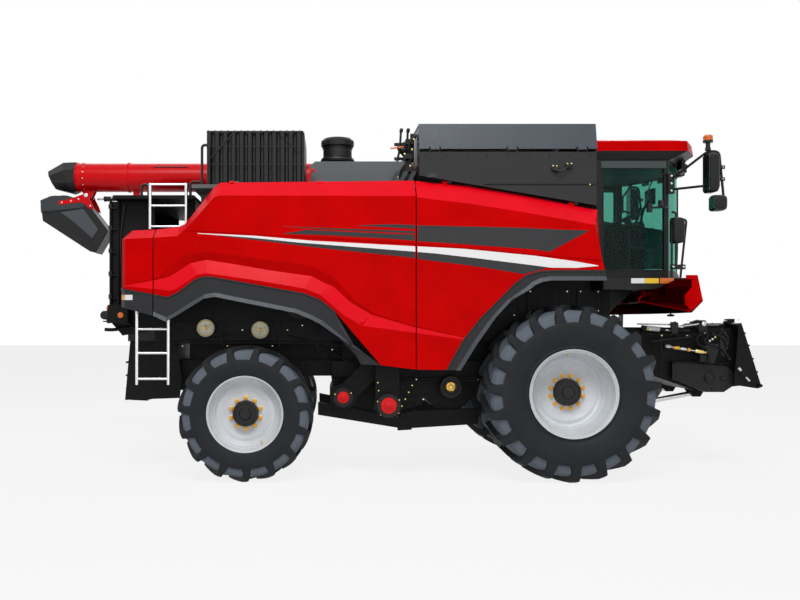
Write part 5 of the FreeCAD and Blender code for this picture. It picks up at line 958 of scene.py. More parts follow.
def driving_place():
    """Driving seat, steering column with wheel, right console with joystick, and the monitor."""
    bm = bmesh.new()
    seat_frame(bm)
    axis = Vector((-0.42, 0, 0.907))
    hub = at(1.05, 0, 2.985)
    foot = at(1.235, 0, CAB_FLOOR)
    tube(bm, [foot, foot.lerp(hub, 0.45), hub - axis * 0.2, hub - axis * 0.03], 0.042, 16, 5, 1)
    turned(bm, [(0.0, 0.11), (0.03, 0.105), (0.07, 0.07), (0.16, 0.052), (0.2, 0.05)], foot, hub - foot, 24, 1)
    hoop(bm, hub, axis, 0.182, 0.0145, 48, 12, 1)
    turned(bm, [
        (-0.035, 0.03), (-0.012, 0.06), (0.012, 0.062), (0.02, 0.05), (0.022, 0.0)
    ], hub - axis * 0.01, axis, 28, 1)
    for k in range(3):
        a = math.radians(90 + 120 * k)
        cross, up = Vector((0, 1, 0)), axis.cross(Vector((0, 1, 0))).normalized()
        out = math.cos(a) * up + math.sin(a) * cross
        tube(bm, [hub - axis * 0.012, hub + out * 0.1 - axis * 0.008, hub + out * 0.176], 0.011, 8, 3, 1)
    turned(
        bm, [(0.0, 0.012), (0.02, 0.012), (0.026, 0.024), (0.05, 0.026), (0.056, 0.016)],
        hub + Vector((0.11, -0.13, 0.055)), axis, 18, 1,
    )
    plate(bm, [
        (0.56, CAB_FLOOR), (0.98, CAB_FLOOR), (1.02, 2.5), (1.02, 2.76), (0.99, 2.815), (0.62, 2.82), (0.56, 2.78),
    ], -0.70, -0.42, 1)
    for row in range(3):
        for k in range(5):
            spot = at(0.66 + 0.055 * k, -0.50 - 0.055 * row, 2.819)
            block(bm, spot - Vector((0.015, 0.012, 0)), spot + Vector((0.015, 0.012, 0.009)), 0, 0.004)
    grip = at(0.97, -0.55, 2.81)
    turned(bm, [
        (0.0, 0.05), (0.02, 0.046), (0.045, 0.022), (0.06, 0.016), (0.09, 0.016), (0.1, 0.024), (0.15, 0.03),
        (0.19, 0.03), (0.215, 0.018),
    ], grip, (0.16, 0, 1), 20, 1)
    bent(bm, [at(1.0, -0.6, 2.80), at(1.03, -0.62, 3.0), at(1.10, -0.64, 3.12)], 0.015)
    block(bm, at(1.088, -0.758, 3.06), at(1.128, -0.512, 3.236), 1, 0.01)
    block(bm, at(1.0845, -0.745, 3.073), at(1.089, -0.525, 3.224), 3, 0.004)
    finish_mesh("driving_place", bm, "cab_interior", (DARK, BLACK_PLASTIC, STEEL, SCREEN), bevel=0.003)
    cushion = padded_block(
        "seat_cushion", at(SEAT_X + 0.01, 0, 2.588), (0.5, 0.5, 0.125), 0.0, 0.012, (0.28, -0.3), 0.022
    )
    padded_block(
        "seat_back", at(SEAT_X - 0.195, 0, 2.965), (0.61, 0.48, 0.105), math.radians(-97.0), 0.012,
        (0.3, -0.05, -0.42), 0.024,
    )
    padded_block(
        "seat_headrest", at(SEAT_X - 0.255, 0, 3.375), (0.135, 0.255, 0.07), math.radians(-97.0), 0.006, (), 0.004
    )
    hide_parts("cab_interior")


driving_place()


# ---------------------------------------------------------------- drives under the body
def drive_details():
    """Hub caps, pulley rims, fan ring and the bolts round the drive casings."""
    bm = bmesh.new()
    materials = (DARK, HUB_RED, GOLD, CREAM, YELLOW, BRASS, CHASSIS)
    out = Vector((0, -1, 0))
    for x, y, z, r in ((-1.94, -1.2, 0.805, 0.088), (-2.43, -1.02, 0.88, 0.066)):
        turned(bm, [(-0.03, 1.5 * r), (0.002, 1.5 * r), (0.008, 1.44 * r), (0.008, 1.25 * r)], at(x, y, z), out, 40)
        bolts_along(
            bm, at(x - 1.36 * r, y - 0.004, z + 0.5 * r), at(x + 1.3 * r, y - 0.004, z + 0.7 * r), 2, out, 0.007, 5
        )
        turned(bm, [
            (0.006, r), (0.016, r), (0.022, 0.93 * r), (0.024, 0.6 * r), (0.036, 0.56 * r), (0.04, 0.3 * r),
            (0.05, 0.26 * r), (0.052, 0.18 * r),
        ], at(x, y, z), out, 40, 1)
        bolt_ring(bm, at(x, y - 0.023, z), 0.76 * r, 6, 0, 0.008, 1)
    for x, z in ((-3.972, 1.646), (-3.361, 1.624)):
        centre = at(x, -0.88, z)
        turned(bm, [
            (-0.004, 0.096), (0.006, 0.098), (0.012, 0.094), (0.012, 0.078), (0.004, 0.072), (0.002, 0.034)
        ], centre, out, 44, 3)
        hoop(bm, centre + out * 0.011, out, 0.087, 0.004, 44, 8, 4)
        turned(bm, [(0.0, 0.036), (0.014, 0.034), (0.018, 0.026)], centre, out, 28, 3)
        turned(bm, [(0.012, 0.02), (0.026, 0.019), (0.03, 0.012), (0.04, 0.01)], centre, out, 20, 2)
        bolt_ring(bm, centre + out * 0.003, 0.053, 3, 0.5, 0.007, 4)
    fan = at(-1.215, -0.812, 0.985)
    turned(bm, [
        (0.0, 0.125), (0.03, 0.125), (0.038, 0.118), (0.038, 0.092), (0.014, 0.088), (0.008, 0.05)
    ], fan, out, 44)
    turned(bm, [(0.0, 0.062), (0.02, 0.06), (0.03, 0.05), (0.032, 0.036), (0.02, 0.034)], fan, out, 36, 2)
    turned(bm, [(0.01, 0.024), (0.045, 0.022), (0.05, 0.014)], fan, out, 20, 5)
    bolt_ring(bm, fan + out * 0.031, 0.043, 4, 0.6, 0.008, 5)
    # Rows of plated bolts up both edges of the forward elevator.
    bolts_along(bm, at(-2.02, -1.142, 0.70), at(-2.055, -1.142, 1.05), 5, out, 0.007, 5)
    bolts_along(bm, at(-1.83, -1.142, 0.72), at(-1.68, -1.142, 1.02), 5, out, 0.007, 5)
    finish_mesh("drive_details", bm, "drive_pulleys", materials, angle=30)


drive_details()


def markers():
    """Reflectors on the platform's edge, the rear corners' markers, latch and seam strip on the tank."""
    bm = bmesh.new()
    # The platform's reflectors glow faintly, though they are no lamps: painted light.
    for number, (x0, z0, x1, z1) in enumerate((
        (0.679, 2.131, 0.828, 2.186), (0.830, 2.131, 0.979, 2.186), (0.990, 2.129, 1.142, 2.188),
    )):
        block(bm, at(x0, -1.2365, z0), at(x1, -1.2295, z1), number, 0.003)
    finish_mesh("edge_reflectors", bm, "platform", (WHITE_PAINTED_GLOW, MARKER_YELLOW_PAINTED_GLOW, AMBER), bevel=0.003)
    # The corner markers glow faintly: painted light.
    for word, side in SIDES:
        for colour, x0, x1, material in (("amber", -4.80, -4.755, MARKER_ORANGE_PAINTED_GLOW), ("white", -4.753, -4.672, WHITE_PAINTED_GLOW)):
            upper, lower = ([(x0, z), (x1, z)] for z in (2.0, 1.945))
            film(f"corner_marker_{colour}_" + word, "rear_corners", side, upper, lower, material, 0.004)
    bm = bmesh.new()
    for side in (-1, 1):
        y = TANK_SIDE * side
        out = Vector((0, side, 0))
        block(bm, at(-0.20, y, 3.335), at(-0.13, y + 0.03 * side, 3.375), 0, 0.008)
        block(bm, at(-0.05, y, 3.355), at(0.02, y + 0.03 * side, 3.40), 0, 0.008)
        tube(bm, [
            at(-0.19, y + 0.03 * side, 3.345), at(-0.11, y + 0.045 * side, 3.325),
            at(-0.05, y + 0.045 * side, 3.36), at(0.0, y + 0.03 * side, 3.385),
        ], 0.011, 8, 5)
        for x, z in ((-0.185, 3.388), (-0.145, 3.385), (-0.03, 3.41), (0.012, 3.41)):
            bolt(bm, at(x, y, z), out, 0.008, 1)
        turned(bm, [(-0.002, 0.008), (0.0015, 0.008), (0.002, 0.004)], at(0.212, y, 3.187), out, 12, 1)
        strip = [(-0.93, 3.186), (0.28, 3.186), (0.28, 3.194), (-0.93, 3.194)]
        plate(bm, strip, y - 0.002 * side, y + 0.0008 * side, 2)
    finish_mesh("tank_fittings", bm, "grain_tank", (BLACK_PLASTIC, BRASS, CHASSIS), bevel=0.0015)


# ---------------------------------------------------------------- unloading spout and auger
# Plates on the spout's sides: outline, how far each stands proud, material.
SPOUT_PLATES = (
    ([(-6.142, 3.17), (-5.84, 3.215), (-5.64, 2.945), (-5.722, 2.83), (-5.926, 3.01), (-6.02, 3.086)], 0.007, 0),
    (
        [
            (-6.405, 3.322), (-6.266, 3.382), (-6.056, 3.389), (-5.83, 3.315), (-5.83, 3.238), (-6.25, 3.192),
            (-6.402, 3.186),
        ],
        0.005, 4,
    ),
    (
        [(-5.815, 3.285), (-5.522, 2.925), (-5.672, 2.662), (-5.712, 2.80), (-5.612, 2.945), (-5.806, 3.215)],
        0.010, 1,
    ),
    ([(-6.402, 3.178), (-6.25, 3.186), (-5.83, 3.234), (-5.83, 3.222), (-6.25, 3.174), (-6.4, 3.166)], 0.009, 1),
    (
        [
            (-6.368, 3.13), (-6.31, 3.12), (-6.1, 3.0), (-5.74, 2.785), (-5.69, 2.65), (-5.748, 2.66),
            (-6.368, 3.062),
        ],
        0.012, 1,
    ),
)
HINGE_PLATE = [
    (-6.17, 3.318), (-6.0, 3.35), (-5.85, 3.408), (-5.785, 3.41), (-5.72, 3.279), (-5.694, 3.2), (-5.757, 3.222),
    (-5.86, 3.305), (-6.16, 3.268),
]


def spout_details():
    """Raised side panels, seam, rubber lip and the red hinge plates."""
    bm = bmesh.new()
    for face, out in SPOUT_SIDES:
        for outline, proud, material in SPOUT_PLATES:
            plate(bm, outline, face - 0.004 * out, face + proud * out, material)
        plate(bm, HINGE_PLATE, face, face + 0.011 * out, 2)
        for x, z in ((-6.12, 3.30), (-6.0, 3.32), (-5.90, 3.345), (-5.745, 3.255)):
            bolt(bm, at(x, face + 0.011 * out, z), (0, out, 0), 0.011, 3)
        pivot = at(-5.8, face + 0.010 * out, 3.392)
        turned(bm, [
            (-0.03, 0.018), (0.004, 0.018), (0.006, 0.026), (0.014, 0.026), (0.017, 0.02)
        ], pivot, (0, out, 0), 20, 3)
    for x0, z0, x1, z1 in ((-6.41, 3.328, -6.267, 3.388), (-6.267, 3.388, -6.056, 3.395)):
        for share in (0.25, 0.75):
            spot = at(x0 + (x1 - x0) * share, AUGER_Y, z0 + (z1 - z0) * share)
            block(bm, spot - Vector((0.006, 0.15, 0.004)), spot + Vector((0.006, 0.15, 0.007)))
    finish_mesh(
        "spout_details", bm, "spout", (SPOUT_PANEL, BLACK_PLASTIC, RED_TUBE, STEEL, GREY_PLASTIC), bevel=0.002
    )


def auger_details():
    """Bolted flanges, the spout's cylinder with its bracket, and the tube's weld seams."""
    bm = bmesh.new()
    y, z, r = AUGER_Y, AUGER_Z, AUGER_RADIUS
    for x in (-5.86, -5.26, -3.7, -2.3):
        for k in range(14):
            a = 2 * math.pi * k / 14 + 0.2
            out = Vector((0, math.cos(a), math.sin(a)))
            bolt(bm, at(x + 0.011, y, z) + out * (r + 0.001), out, 0.008, 3 if x < -5.5 else 0)
    hoop(bm, at(-5.945, y, z), (1, 0, 0), r + 0.004, 0.009, 40, 8)
    block(bm, at(-5.21, 0.955, 3.35), at(-5.125, 1.045, 3.475), 0, 0.01)
    tube(bm, [at(-5.14, 1.0, 3.385), at(-5.60, 1.0, 3.37)], 0.032, 20, 1, 1)
    turned(bm, [(0.0, 0.036), (0.03, 0.036), (0.034, 0.03)], at(-5.575, 1.0, 3.371), (-1, 0, -0.03), 20, 1)
    tube(bm, [at(-5.58, 1.0, 3.371), at(-5.70, 1.0, 3.367)], 0.014, 12, 1, 3)
    for x in (-5.18, -5.5):
        bolt(bm, at(x, 0.966, 3.385), (0, -1, 0), 0.01, 3)
    for x in (-4.9, -4.1, -3.3, -2.6):
        tube(bm, [
            at(x, 0.84, 3.765), at(x + 0.03, 0.845, 3.77), at(x + 0.4, 0.845, 3.77), at(x + 0.43, 0.84, 3.765)
        ], 0.009, 8, 3, 1)
    finish_mesh("auger_details", bm, "auger_tube", (RED_TUBE, BLACK_PLASTIC, HOSE, STEEL), bevel=0.0015)


spout_details()
auger_details()


# ---------------------------------------------------------------- rear end
def rear_details():
    """Light clusters, rollers and step bars on the hood, its lattice posts and lamp brackets."""
    bm = bmesh.new()
    materials = (CHASSIS, BLACK_PLASTIC, RED_LENS, AMBER, STEEL, WHITE_PAINTED_GLOW)
    for side in (-1, 1):
        lamp_y, post_y = REAR_LAMP_Y * side, POST_Y * side
        block(bm, at(-5.065, 0.775 * side, 1.70), at(-4.83, 0.93 * side, 1.905), 0, 0.012)
        turned(
            bm, [(-0.06, 0.044), (-0.05, 0.05), (0.05, 0.05), (0.06, 0.044)], at(-5.10, lamp_y, 1.79), (0, 1, 0),
            28, 1,
        )
        for z, number in ((1.865, 3), (1.73, 2)):
            turned(
                bm, [(0.0, 0.034), (0.01, 0.034), (0.02, 0.028), (0.024, 0.012)], at(-5.065, lamp_y, z), (-1, 0, 0),
                24, number,
            )
        turned(
            bm, [(0.0, 0.033), (0.008, 0.033), (0.014, 0.026)], at(-4.915, 0.93 * side, 1.79), (0, side, 0), 24, 3
        )
        plate(bm, [(-5.11, 1.728), (-4.8, 1.70), (-4.8, 1.684), (-5.11, 1.716)], 0.77 * side, 0.95 * side)
        bent(bm, [at(-4.79, post_y, 1.66), at(-5.02, lamp_y, 1.625), at(-5.10, 0.9 * side, 1.63)], 0.02, 0.05, 12)
        for x in (-5.058, -4.97):
            tube(bm, [at(x, post_y, 1.70), at(x, post_y, 3.09)], 0.016, 10, 1)
        for z in (1.98, 2.24, 2.50, 2.76, 3.0):
            tube(bm, [at(-5.062, post_y, z), at(-4.97, post_y, z)], 0.012, 8, 1)
            turned(bm, [(-0.025, 0.026), (0.025, 0.026)], at(-5.058, post_y, z + 0.02), (0, 0, 1), 12, 1)
        bent(bm, [
            at(-4.94, 0.792 * side, 1.72), at(-4.93, post_y, 2.2), at(-4.95, 0.795 * side, 2.7),
            at(-4.9, 0.792 * side, 3.05),
        ], 0.011, 0.1, 8, 1)
    finish_mesh("rear_details", bm, "rear_hood", materials, bevel=0.002)


rear_details()


# ---------------------------------------------------------------- feeder
def feeder_details():
    """Coupler line, cylinders, hoses, side sheet, chain case, and the header frame's and nose's fittings."""
    bm = bmesh.new()
    # The white coupler pieces and rods (material 6) glow faintly: painted light.
    materials = (CHASSIS, BLACK_PLASTIC, HOSE, STEEL, GOLD, BRASS, WHITE_PAINTED_GLOW, DARK)
    y = -0.785
    start, stop = at(1.225, y, 1.443), at(1.69, y, 1.366)
    line = stop - start
    tube(bm, [start, stop], 0.009, 10, 1, 3)
    for share, length, radius, number in (
        (0.02, 0.05, 0.019, 6), (0.19, 0.075, 0.021, 4), (0.36, 0.07, 0.017, 3), (0.52, 0.04, 0.022, 4),
        (0.72, 0.10, 0.021, 5), (0.95, 0.03, 0.014, 4),
    ):
        turned(
            bm, [(0.0, 0.8 * radius), (0.006, radius), (length - 0.006, radius), (length, 0.8 * radius)],
            start + line * share, line, 18, number,
        )
    for spot in (start, stop):
        block(bm, spot + Vector((-0.012, 0.0, -0.03)), spot + Vector((0.012, 0.03, 0.03)))
    top = -0.72
    tube(bm, [at(0.98, top, 1.652), at(1.245, top, 1.626)], 0.026, 20, 1, 7)
    turned(bm, [(0.0, 0.0275), (0.15, 0.0275)], at(1.03, top, 1.6475), (0.265, 0, -0.026), 20, 6)
    tube(bm, [at(1.245, top, 1.626), at(1.34, top, 1.617)], 0.013, 12, 1, 3)
    tube(bm, [at(0.93, top, 1.69), at(1.32, top, 1.684)], 0.009, 10, 1, 3)
    plate(bm, [
        (1.30, 1.585), (1.372, 1.585), (1.38, 1.70), (1.345, 1.722), (1.30, 1.70)
    ], top - 0.05, top - 0.03, 1)
    block(bm, at(1.31, -0.75, 1.60), at(1.36, -0.70, 1.715), 1, 0.006)
    tube(bm, [at(1.37, top - 0.02, 1.66), at(1.65, top - 0.02, 1.694)], 0.011, 12, 1, 3)
    tube(bm, [at(1.37, top, 1.62), at(1.52, top, 1.612)], 0.02, 12, 1, 7)
    plate(bm, [
        (1.615, 1.60), (1.70, 1.60), (1.71, 1.69), (1.685, 1.735), (1.645, 1.735), (1.62, 1.69)
    ], top - 0.05, top + 0.02, 1)
    turned(bm, [(0.0, 0.026), (0.016, 0.026), (0.02, 0.018)], at(1.665, top - 0.05, 1.695), (0, -1, 0), 20, 3)
    tube(bm, [at(1.07, -0.775, 1.498), at(1.52, -0.775, 1.548)], 0.013, 12, 1, 7)
    # Hoses from the couplers to the header's multi-coupler.
    for points in (
        [(1.66, 1.60), (1.58, 1.54), (1.60, 1.46), (1.68, 1.42), (1.69, 1.37)],
        [(1.69, 1.61), (1.70, 1.54), (1.66, 1.50), (1.72, 1.46), (1.80, 1.45)],
        [(1.70, 1.37), (1.72, 1.32), (1.70, 1.27), (1.74, 1.26)],
        [(1.81, 1.454), (1.88, 1.39), (1.925, 1.33), (1.95, 1.295)],
        [(1.76, 1.58), (1.84, 1.55), (1.90, 1.50), (1.92, 1.42)],
        [(1.86, 1.63), (1.89, 1.58), (1.93, 1.54), (1.925, 1.47)],
    ):
        tube(bm, [at(x, y - 0.005, z) for x, z in points], 0.0095, 10, 6, 2)
        for x, z in (points[0], points[-1]):
            turned(bm, [(-0.014, 0.0105), (0.014, 0.0105)], at(x, y - 0.005, z), (0.4, 0, 1), 6, 1)
    for x, z, number in (
        (1.685, 1.585, 5), (1.77, 1.52, 3), (1.80, 1.545, 5), (1.74, 1.50, 3), (1.19, 1.56, 5), (1.06, 1.63, 5),
        (1.48, 1.56, 5), (1.92, 1.56, 5), (1.90, 1.55, 5),
    ):
        bolt(bm, at(x, -0.762, z), (0, -1, 0), 0.011, number)
    # Side sheet: upper flange, stiffening ribs, and the frame behind the header's face.
    for outline, outer, material in (
        ([(0.95, 1.585), (1.95, 1.575), (1.95, 1.56), (0.95, 1.57)], -0.778, 0),
        ([(1.17, 1.12), (1.19, 1.12), (1.19, 1.56), (1.17, 1.56)], -0.775, 0),
        ([(1.62, 1.27), (1.78, 1.24), (1.84, 1.40), (1.80, 1.47), (1.70, 1.47), (1.63, 1.38)], -0.772, 7),
        ([(1.84, 1.58), (1.92, 1.60), (1.94, 1.50), (1.90, 1.32), (1.86, 1.34)], -0.774, 7),
    ):
        plate(bm, outline, FEEDER_SIDE, outer, material)
    # Chain case.
    turned(
        bm,
        [(0.0, 0.055), (0.004, 0.055), (0.01, 0.046), (0.002, 0.04), (0.002, 0.022), (0.012, 0.02), (0.014, 0.012)],
        at(1.770, -0.697, 1.075), (0, -1, 0), 30, 1,
    )
    plate(bm, [
        (1.895, 1.083), (1.94, 1.09), (1.955, 1.072), (1.94, 1.055), (1.895, 1.062)
    ], CHAIN_CASE_SIDE, -0.701, 1)
    plate(bm, [
        (1.352, 1.262), (1.70, 1.256), (1.99, 1.238), (1.99, 1.228), (1.70, 1.246), (1.352, 1.252)
    ], CHAIN_CASE_SIDE, -0.706)
    for x, z in (
        (1.37, 1.24), (1.55, 1.235), (1.72, 1.23), (1.90, 1.22), (2.0, 1.13), (1.96, 0.98), (1.80, 0.945),
        (1.58, 0.97), (1.39, 1.10),
    ):
        bolt(bm, at(x, -0.697, z), (0, -1, 0), 0.009, 7)
    finish_mesh("feeder_details", bm, "feeder_house", materials, bevel=0.0015)
    bm = bmesh.new()
    for side in (-1, 1):
        face = 0.822 * side
        tube(bm, [
            at(2.035, face, 1.205), at(2.06, face, 1.165), at(2.10, face, 1.115), at(2.15, face, 1.06)
        ], 0.009, 10, 5, 2)
        turned(bm, [(-0.02, 0.014), (0.02, 0.014)], at(2.05, face, 1.182), (0.5, 0, -0.6), 12, 6)
        turned(bm, [(-0.03, 0.012), (0.03, 0.012)], at(2.14, face, 1.07), (0.6, 0, -0.6), 8, 3)
        for share in (0.12, 0.35, 0.6, 0.85):
            bolt(bm, at(2.09 + 0.19 * share, 0.816 * side, 1.66 - 0.6 * share), (0, side, 0), 0.009, 7)
    block(bm, at(2.075, -0.50, 1.738), at(2.15, -0.38, 1.752), 0, 0.01)
    for y in (-0.7, -0.35, 0.35, 0.7):
        bolt(bm, at(2.10, y, 1.735), (0, 0, 1), 0.012, 3)
    finish_mesh("header_frame_details", bm, "header_frame", materials, bevel=0.0015)
    bm = bmesh.new()
    turned(bm, [
        (0.0, 0.008), (0.03, 0.008), (0.034, 0.036), (0.05, 0.04), (0.056, 0.02)
    ], at(1.2, -1.0, 1.83), (0, 0, -1), 20)
    finish_mesh("nose_knob", bm, "nose_panel", BLACK_PLASTIC)


feeder_details()


# ---------------------------------------------------------------- cab and deck
def cab_details():
    """Lamps, pillar brackets, wiper, seals, hatch strip and the tinted lower part of the door."""
    bm = bmesh.new()
    materials = (BLACK_PLASTIC, DARK, STEEL, LAMP_GLASS, AMBER, RED_PAINTED_HIGHLIGHT)
    for side in (-1, 1):
        y = CAB_SIDE * side
        # Slim seals round the side glass.
        for x0, z0, x1, z1 in (
            (0.50, 2.293, 1.20, 2.305), (0.50, 3.445, 1.20, 3.457), (0.50, 2.305, 0.51, 3.445),
            (1.19, 2.305, 1.20, 3.445),
        ):
            block(bm, at(x0, y - 0.006 * side, z0), at(x1, y + 0.002 * side, z1))
        # Brackets on the front pillars, with two small housings and a cable on the right one.
        if side > 0:
            bent(bm, [at(1.235, 0.80, 3.02), at(1.235, 0.832, 3.0), at(1.235, 0.832, 2.9)], 0.012, 0.03, 8)
            continue
        bent(bm, [at(1.235, -0.80, 3.02), at(1.18, -0.90, 3.0), at(1.0, -0.93, 2.99)], 0.012, 0.03, 8)
        block(bm, at(0.96, -0.955, 2.94), at(1.02, -0.905, 3.04), 0, 0.012)
        block(bm, at(1.10, -0.93, 3.01), at(1.15, -0.88, 3.075), 0, 0.012)
        cable = [at(1.235, -0.83, 3.38), at(1.15, -0.85, 3.37), at(1.06, -0.85, 3.31), at(1.0, -0.85, 3.18)]
        tube(bm, cable, 0.008, 8, 5)
    # Wiper on the bowed glass, and a grab handle either side of it.
    tube(bm, [at(1.66, -0.02, 2.32), at(1.668, -0.03, 2.6), at(1.664, -0.035, 3.1)], 0.008, 8, 4)
    block(bm, at(1.655, -0.045, 2.75), at(1.672, -0.025, 3.35))
    turned(bm, [(0.0, 0.03), (0.03, 0.03), (0.036, 0.02)], at(1.645, -0.02, 2.27), (1, 0, 0), 20)
    for side in (-1, 1):
        bent(bm, [
            at(1.29, 0.80 * side, 2.35), at(1.34, 0.80 * side, 2.36), at(1.34, 0.80 * side, 2.95),
            at(1.29, 0.80 * side, 2.96),
        ], 0.012, 0.04)
    finish_mesh("cab_fittings", bm, "cab_frame", materials, bevel=0.0015)

    bm = bmesh.new()
    # The hatch frame on the roof's top takes the lighter red, a painted highlight.
    for x0, x1, y0, y1 in (
        (0.95, 1.40, -0.62, -0.58), (0.95, 1.40, 0.58, 0.62), (0.95, 0.99, -0.58, 0.58), (1.36, 1.40, -0.58, 0.58)
    ):
        block(bm, at(x0, y0, 3.776), at(x1, y1, 3.789))
    block(bm, at(0.99, -0.58, 3.776), at(1.36, 0.58, 3.784), 1)
    finish_mesh("roof_hatch", bm, "cab_roof", (RED_PAINTED_HIGHLIGHT, GREY_PLASTIC), bevel=0.003)

    bm = bmesh.new()
    for side in (-1, 1):
        y = HOOP_Y * side
        shift = 0.0 if side < 0 else 0.055
        cushion_block(bm, at(1.135 + shift, y - 0.075, 2.565), at(1.255 + shift, y + 0.075, 2.845), "x", 0.5)
        block(bm, at(1.131 + shift, y - 0.06, 2.59), at(1.137 + shift, y + 0.06, 2.82), 1)
        block(bm, at(1.12 + shift, y - 0.03, 2.285), at(1.275, y + 0.03, 2.335), 0, 0.012)
        for x in (1.14, 1.25):
            bolt(bm, at(x, y + 0.03 * side, 2.31), (0, side, 0), 0.01, 2)
    finish_mesh("hoop_lamps", bm, "handrails", (BLACK_PLASTIC, DARK_GLASS, STEEL), bevel=0.002)

    bm = bmesh.new()
    low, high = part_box("cab_door_glass")
    block(bm, (low.x, low.y - 0.004, low.z), (high.x, high.y + 0.002, 2.99))
    block(bm, at(0.8, low.y - 0.006, 2.31), at(0.812, high.y + 0.004, 2.97), 1)
    block(bm, at(0.81, low.y - 0.006, 2.62), at(1.15, high.y + 0.004, 2.63), 1)
    finish_mesh("door_lower_panel", bm, "cab_door_glass", (LOWER_TINT, BLACK_PLASTIC))

    # Lamps under the visor: lenses and housings' rims.
    bm = bmesh.new()
    for y in (-0.56, -0.33, -0.11, 0.11, 0.33, 0.56):
        near = max(0.0, abs(y) - 0.07) / 0.83
        x = 1.24 + 0.41 * (1 - near ** 1.5) + 0.05
        cushion_block(bm, at(x - 0.004, y - 0.062, 3.484), at(x + 0.008, y + 0.062, 3.556), "x", 0.4, 1)
        block(bm, at(x - 0.002, y - 0.066, 3.558), at(x + 0.012, y + 0.066, 3.566))
    finish_mesh("visor_lenses", bm, "work_lights", (BLACK_PLASTIC, LAMP_GLASS))


def deck_details():
    """Hoses, levers and ribs behind the tank, radiator caps, struts, precleaner bands, hooks, tank brackets."""
    bm = bmesh.new()
    materials = (BLACK_PLASTIC, HOSE, STEEL, AMBER, DARK, HUB_RED, BRASS, GREY_PLASTIC)
    for side in (-1, 1):
        for k in range(6):
            y = side * (1.12 - 0.035 * k)
            x = -1.66 - 0.022 * k
            tube(bm, [
                at(x - 0.06, y, 3.21), at(x - 0.10, y - 0.02 * side, 3.36), at(x - 0.02 + 0.01 * k, y, 3.52),
                at(x - 0.05, y + 0.01 * side, 3.66), at(-1.63, y, 3.76),
            ], 0.012, 8, 6, 1)
        for x, lean in ((-1.90, 0.09), (-1.80, 0.07)):
            tube(bm, [
                at(x, 1.0 * side, 3.22), at(x + lean, 1.0 * side, 3.6), at(x + 1.2 * lean, 1.0 * side, 3.82)
            ], 0.013, 8, 3)
            turned(
                bm, [(0.0, 0.014), (0.01, 0.02), (0.04, 0.02), (0.05, 0.012)], at(x + 1.2 * lean, 1.0 * side, 3.81),
                (0.2, 0, 1), 14,
            )
        for z in (3.38, 3.52, 3.68):
            block(bm, at(-1.86, 0.93 * side - 0.02, z), at(-1.64, 0.93 * side + 0.02, z + 0.03), 0, 0.006)
            block(bm, at(-1.75, 1.08 * side - 0.05, z - 0.02), at(-1.66, 1.08 * side + 0.05, z + 0.035), 4, 0.01)
        # The amber handle glows faintly though it is no lamp: painted light.
        tube(bm, [
            at(-1.91, 1.03 * side, 3.632), at(-1.83, 1.03 * side, 3.64), at(-1.74, 1.03 * side, 3.655)
        ], 0.009, 8, 3, 3)
        for k in range(3):
            x = -1.93 + 0.09 * k
            plate(bm, [
                (x, 3.215), (x + 0.05, 3.215), (x + 0.12, 3.36), (x + 0.07, 3.36)
            ], 1.135 * side, 1.15 * side, 7)
        block(bm, at(-2.02, 1.06 * side, 3.205), at(-1.64, 1.17 * side, 3.228))
        for x, z in ((-1.70, 3.42), (-1.76, 3.55), (-1.68, 3.60), (-1.84, 3.30), (-1.66, 3.71)):
            bolt(bm, at(x, 1.135 * side, z), (0, side, 0), 0.009, 6)
    # Radiator housing: caps over the ribs, the middle rail and two struts.
    low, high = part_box("radiator_housing")
    count = 15
    pitch = (high.x - low.x) / count
    for k in range(count):
        x = low.x + (k + 0.33) * pitch
        turned(
            bm, [(-0.03, 0.008), (-0.022, 0.02), (0.03, 0.024), (0.06, 0.01)],
            Vector((x, low.y + 0.024, high.z - 0.016)), (0, 1, 0), 14,
        )
    for z in (3.44, 3.64):
        block(bm, (low.x + 0.004, low.y - 0.004, z), (high.x - 0.01, low.y + 0.004, z + 0.009))
    for x0, z0, x1, z1 in ((-3.92, 3.50, -3.66, 3.78), (-3.16, 3.79, -2.90, 3.56)):
        plate(bm, [
            (x0, z0), (x0 + 0.012, z0 - 0.008), (x1 + 0.012, z1 - 0.008), (x1, z1)
        ], low.y - 0.01, low.y + 0.002, 4)
    # Precleaner bands and clamp.
    centre = middle("air_precleaner")
    for z in (3.605, 3.71, 3.725):
        hoop(bm, Vector((centre.x, centre.y, z)), (0, 0, 1), 0.168, 0.006, 40, 8)
    for k in range(16):
        a = 2 * math.pi * k / 16
        spot = Vector((centre.x, centre.y, 3.745)) + Vector((math.cos(a), math.sin(a), 0)) * 0.184
        block(bm, spot - Vector((0.006, 0.006, 0)), spot + Vector((0.006, 0.006, 0.055)), 4)
    # Lifting hooks.
    for y in (-1.1, 1.1):
        bent(bm, [
            at(-2.80, y, 3.20), at(-2.80, y, 3.33), at(-2.77, y, 3.40), at(-2.74, y, 3.36)
        ], 0.011, 0.03, 8, 5)
    finish_mesh("deck_fittings", bm, "engine_deck", materials, bevel=0.0015)

    bm = bmesh.new()
    for side in (-1, 1):
        y = TANK_SIDE * side
        plate(bm, [(-1.54, 3.262), (-1.43, 3.262), (-1.45, 3.31), (-1.52, 3.306)], y, y + 0.012 * side)
        bolts_along(bm, at(-1.55, y, 3.50), at(0.22, y, 3.50), 9, (0, side, 0), 0.006, 1)
    finish_mesh("tank_brackets", bm, "grain_tank", (GREY_PLASTIC, DARK), bevel=0.002)


cab_details()
deck_details()


# ---------------------------------------------------------------- back and upper decks
SKY = 6.0
COVER_Z = 3.88


def skin_of(node):
    """Faces of a carried-over node, to drop points onto."""
    mesh = NODES[node].data
    return BVHTree.FromPolygons([v.co for v in mesh.vertices], [p.vertices for p in mesh.polygons])


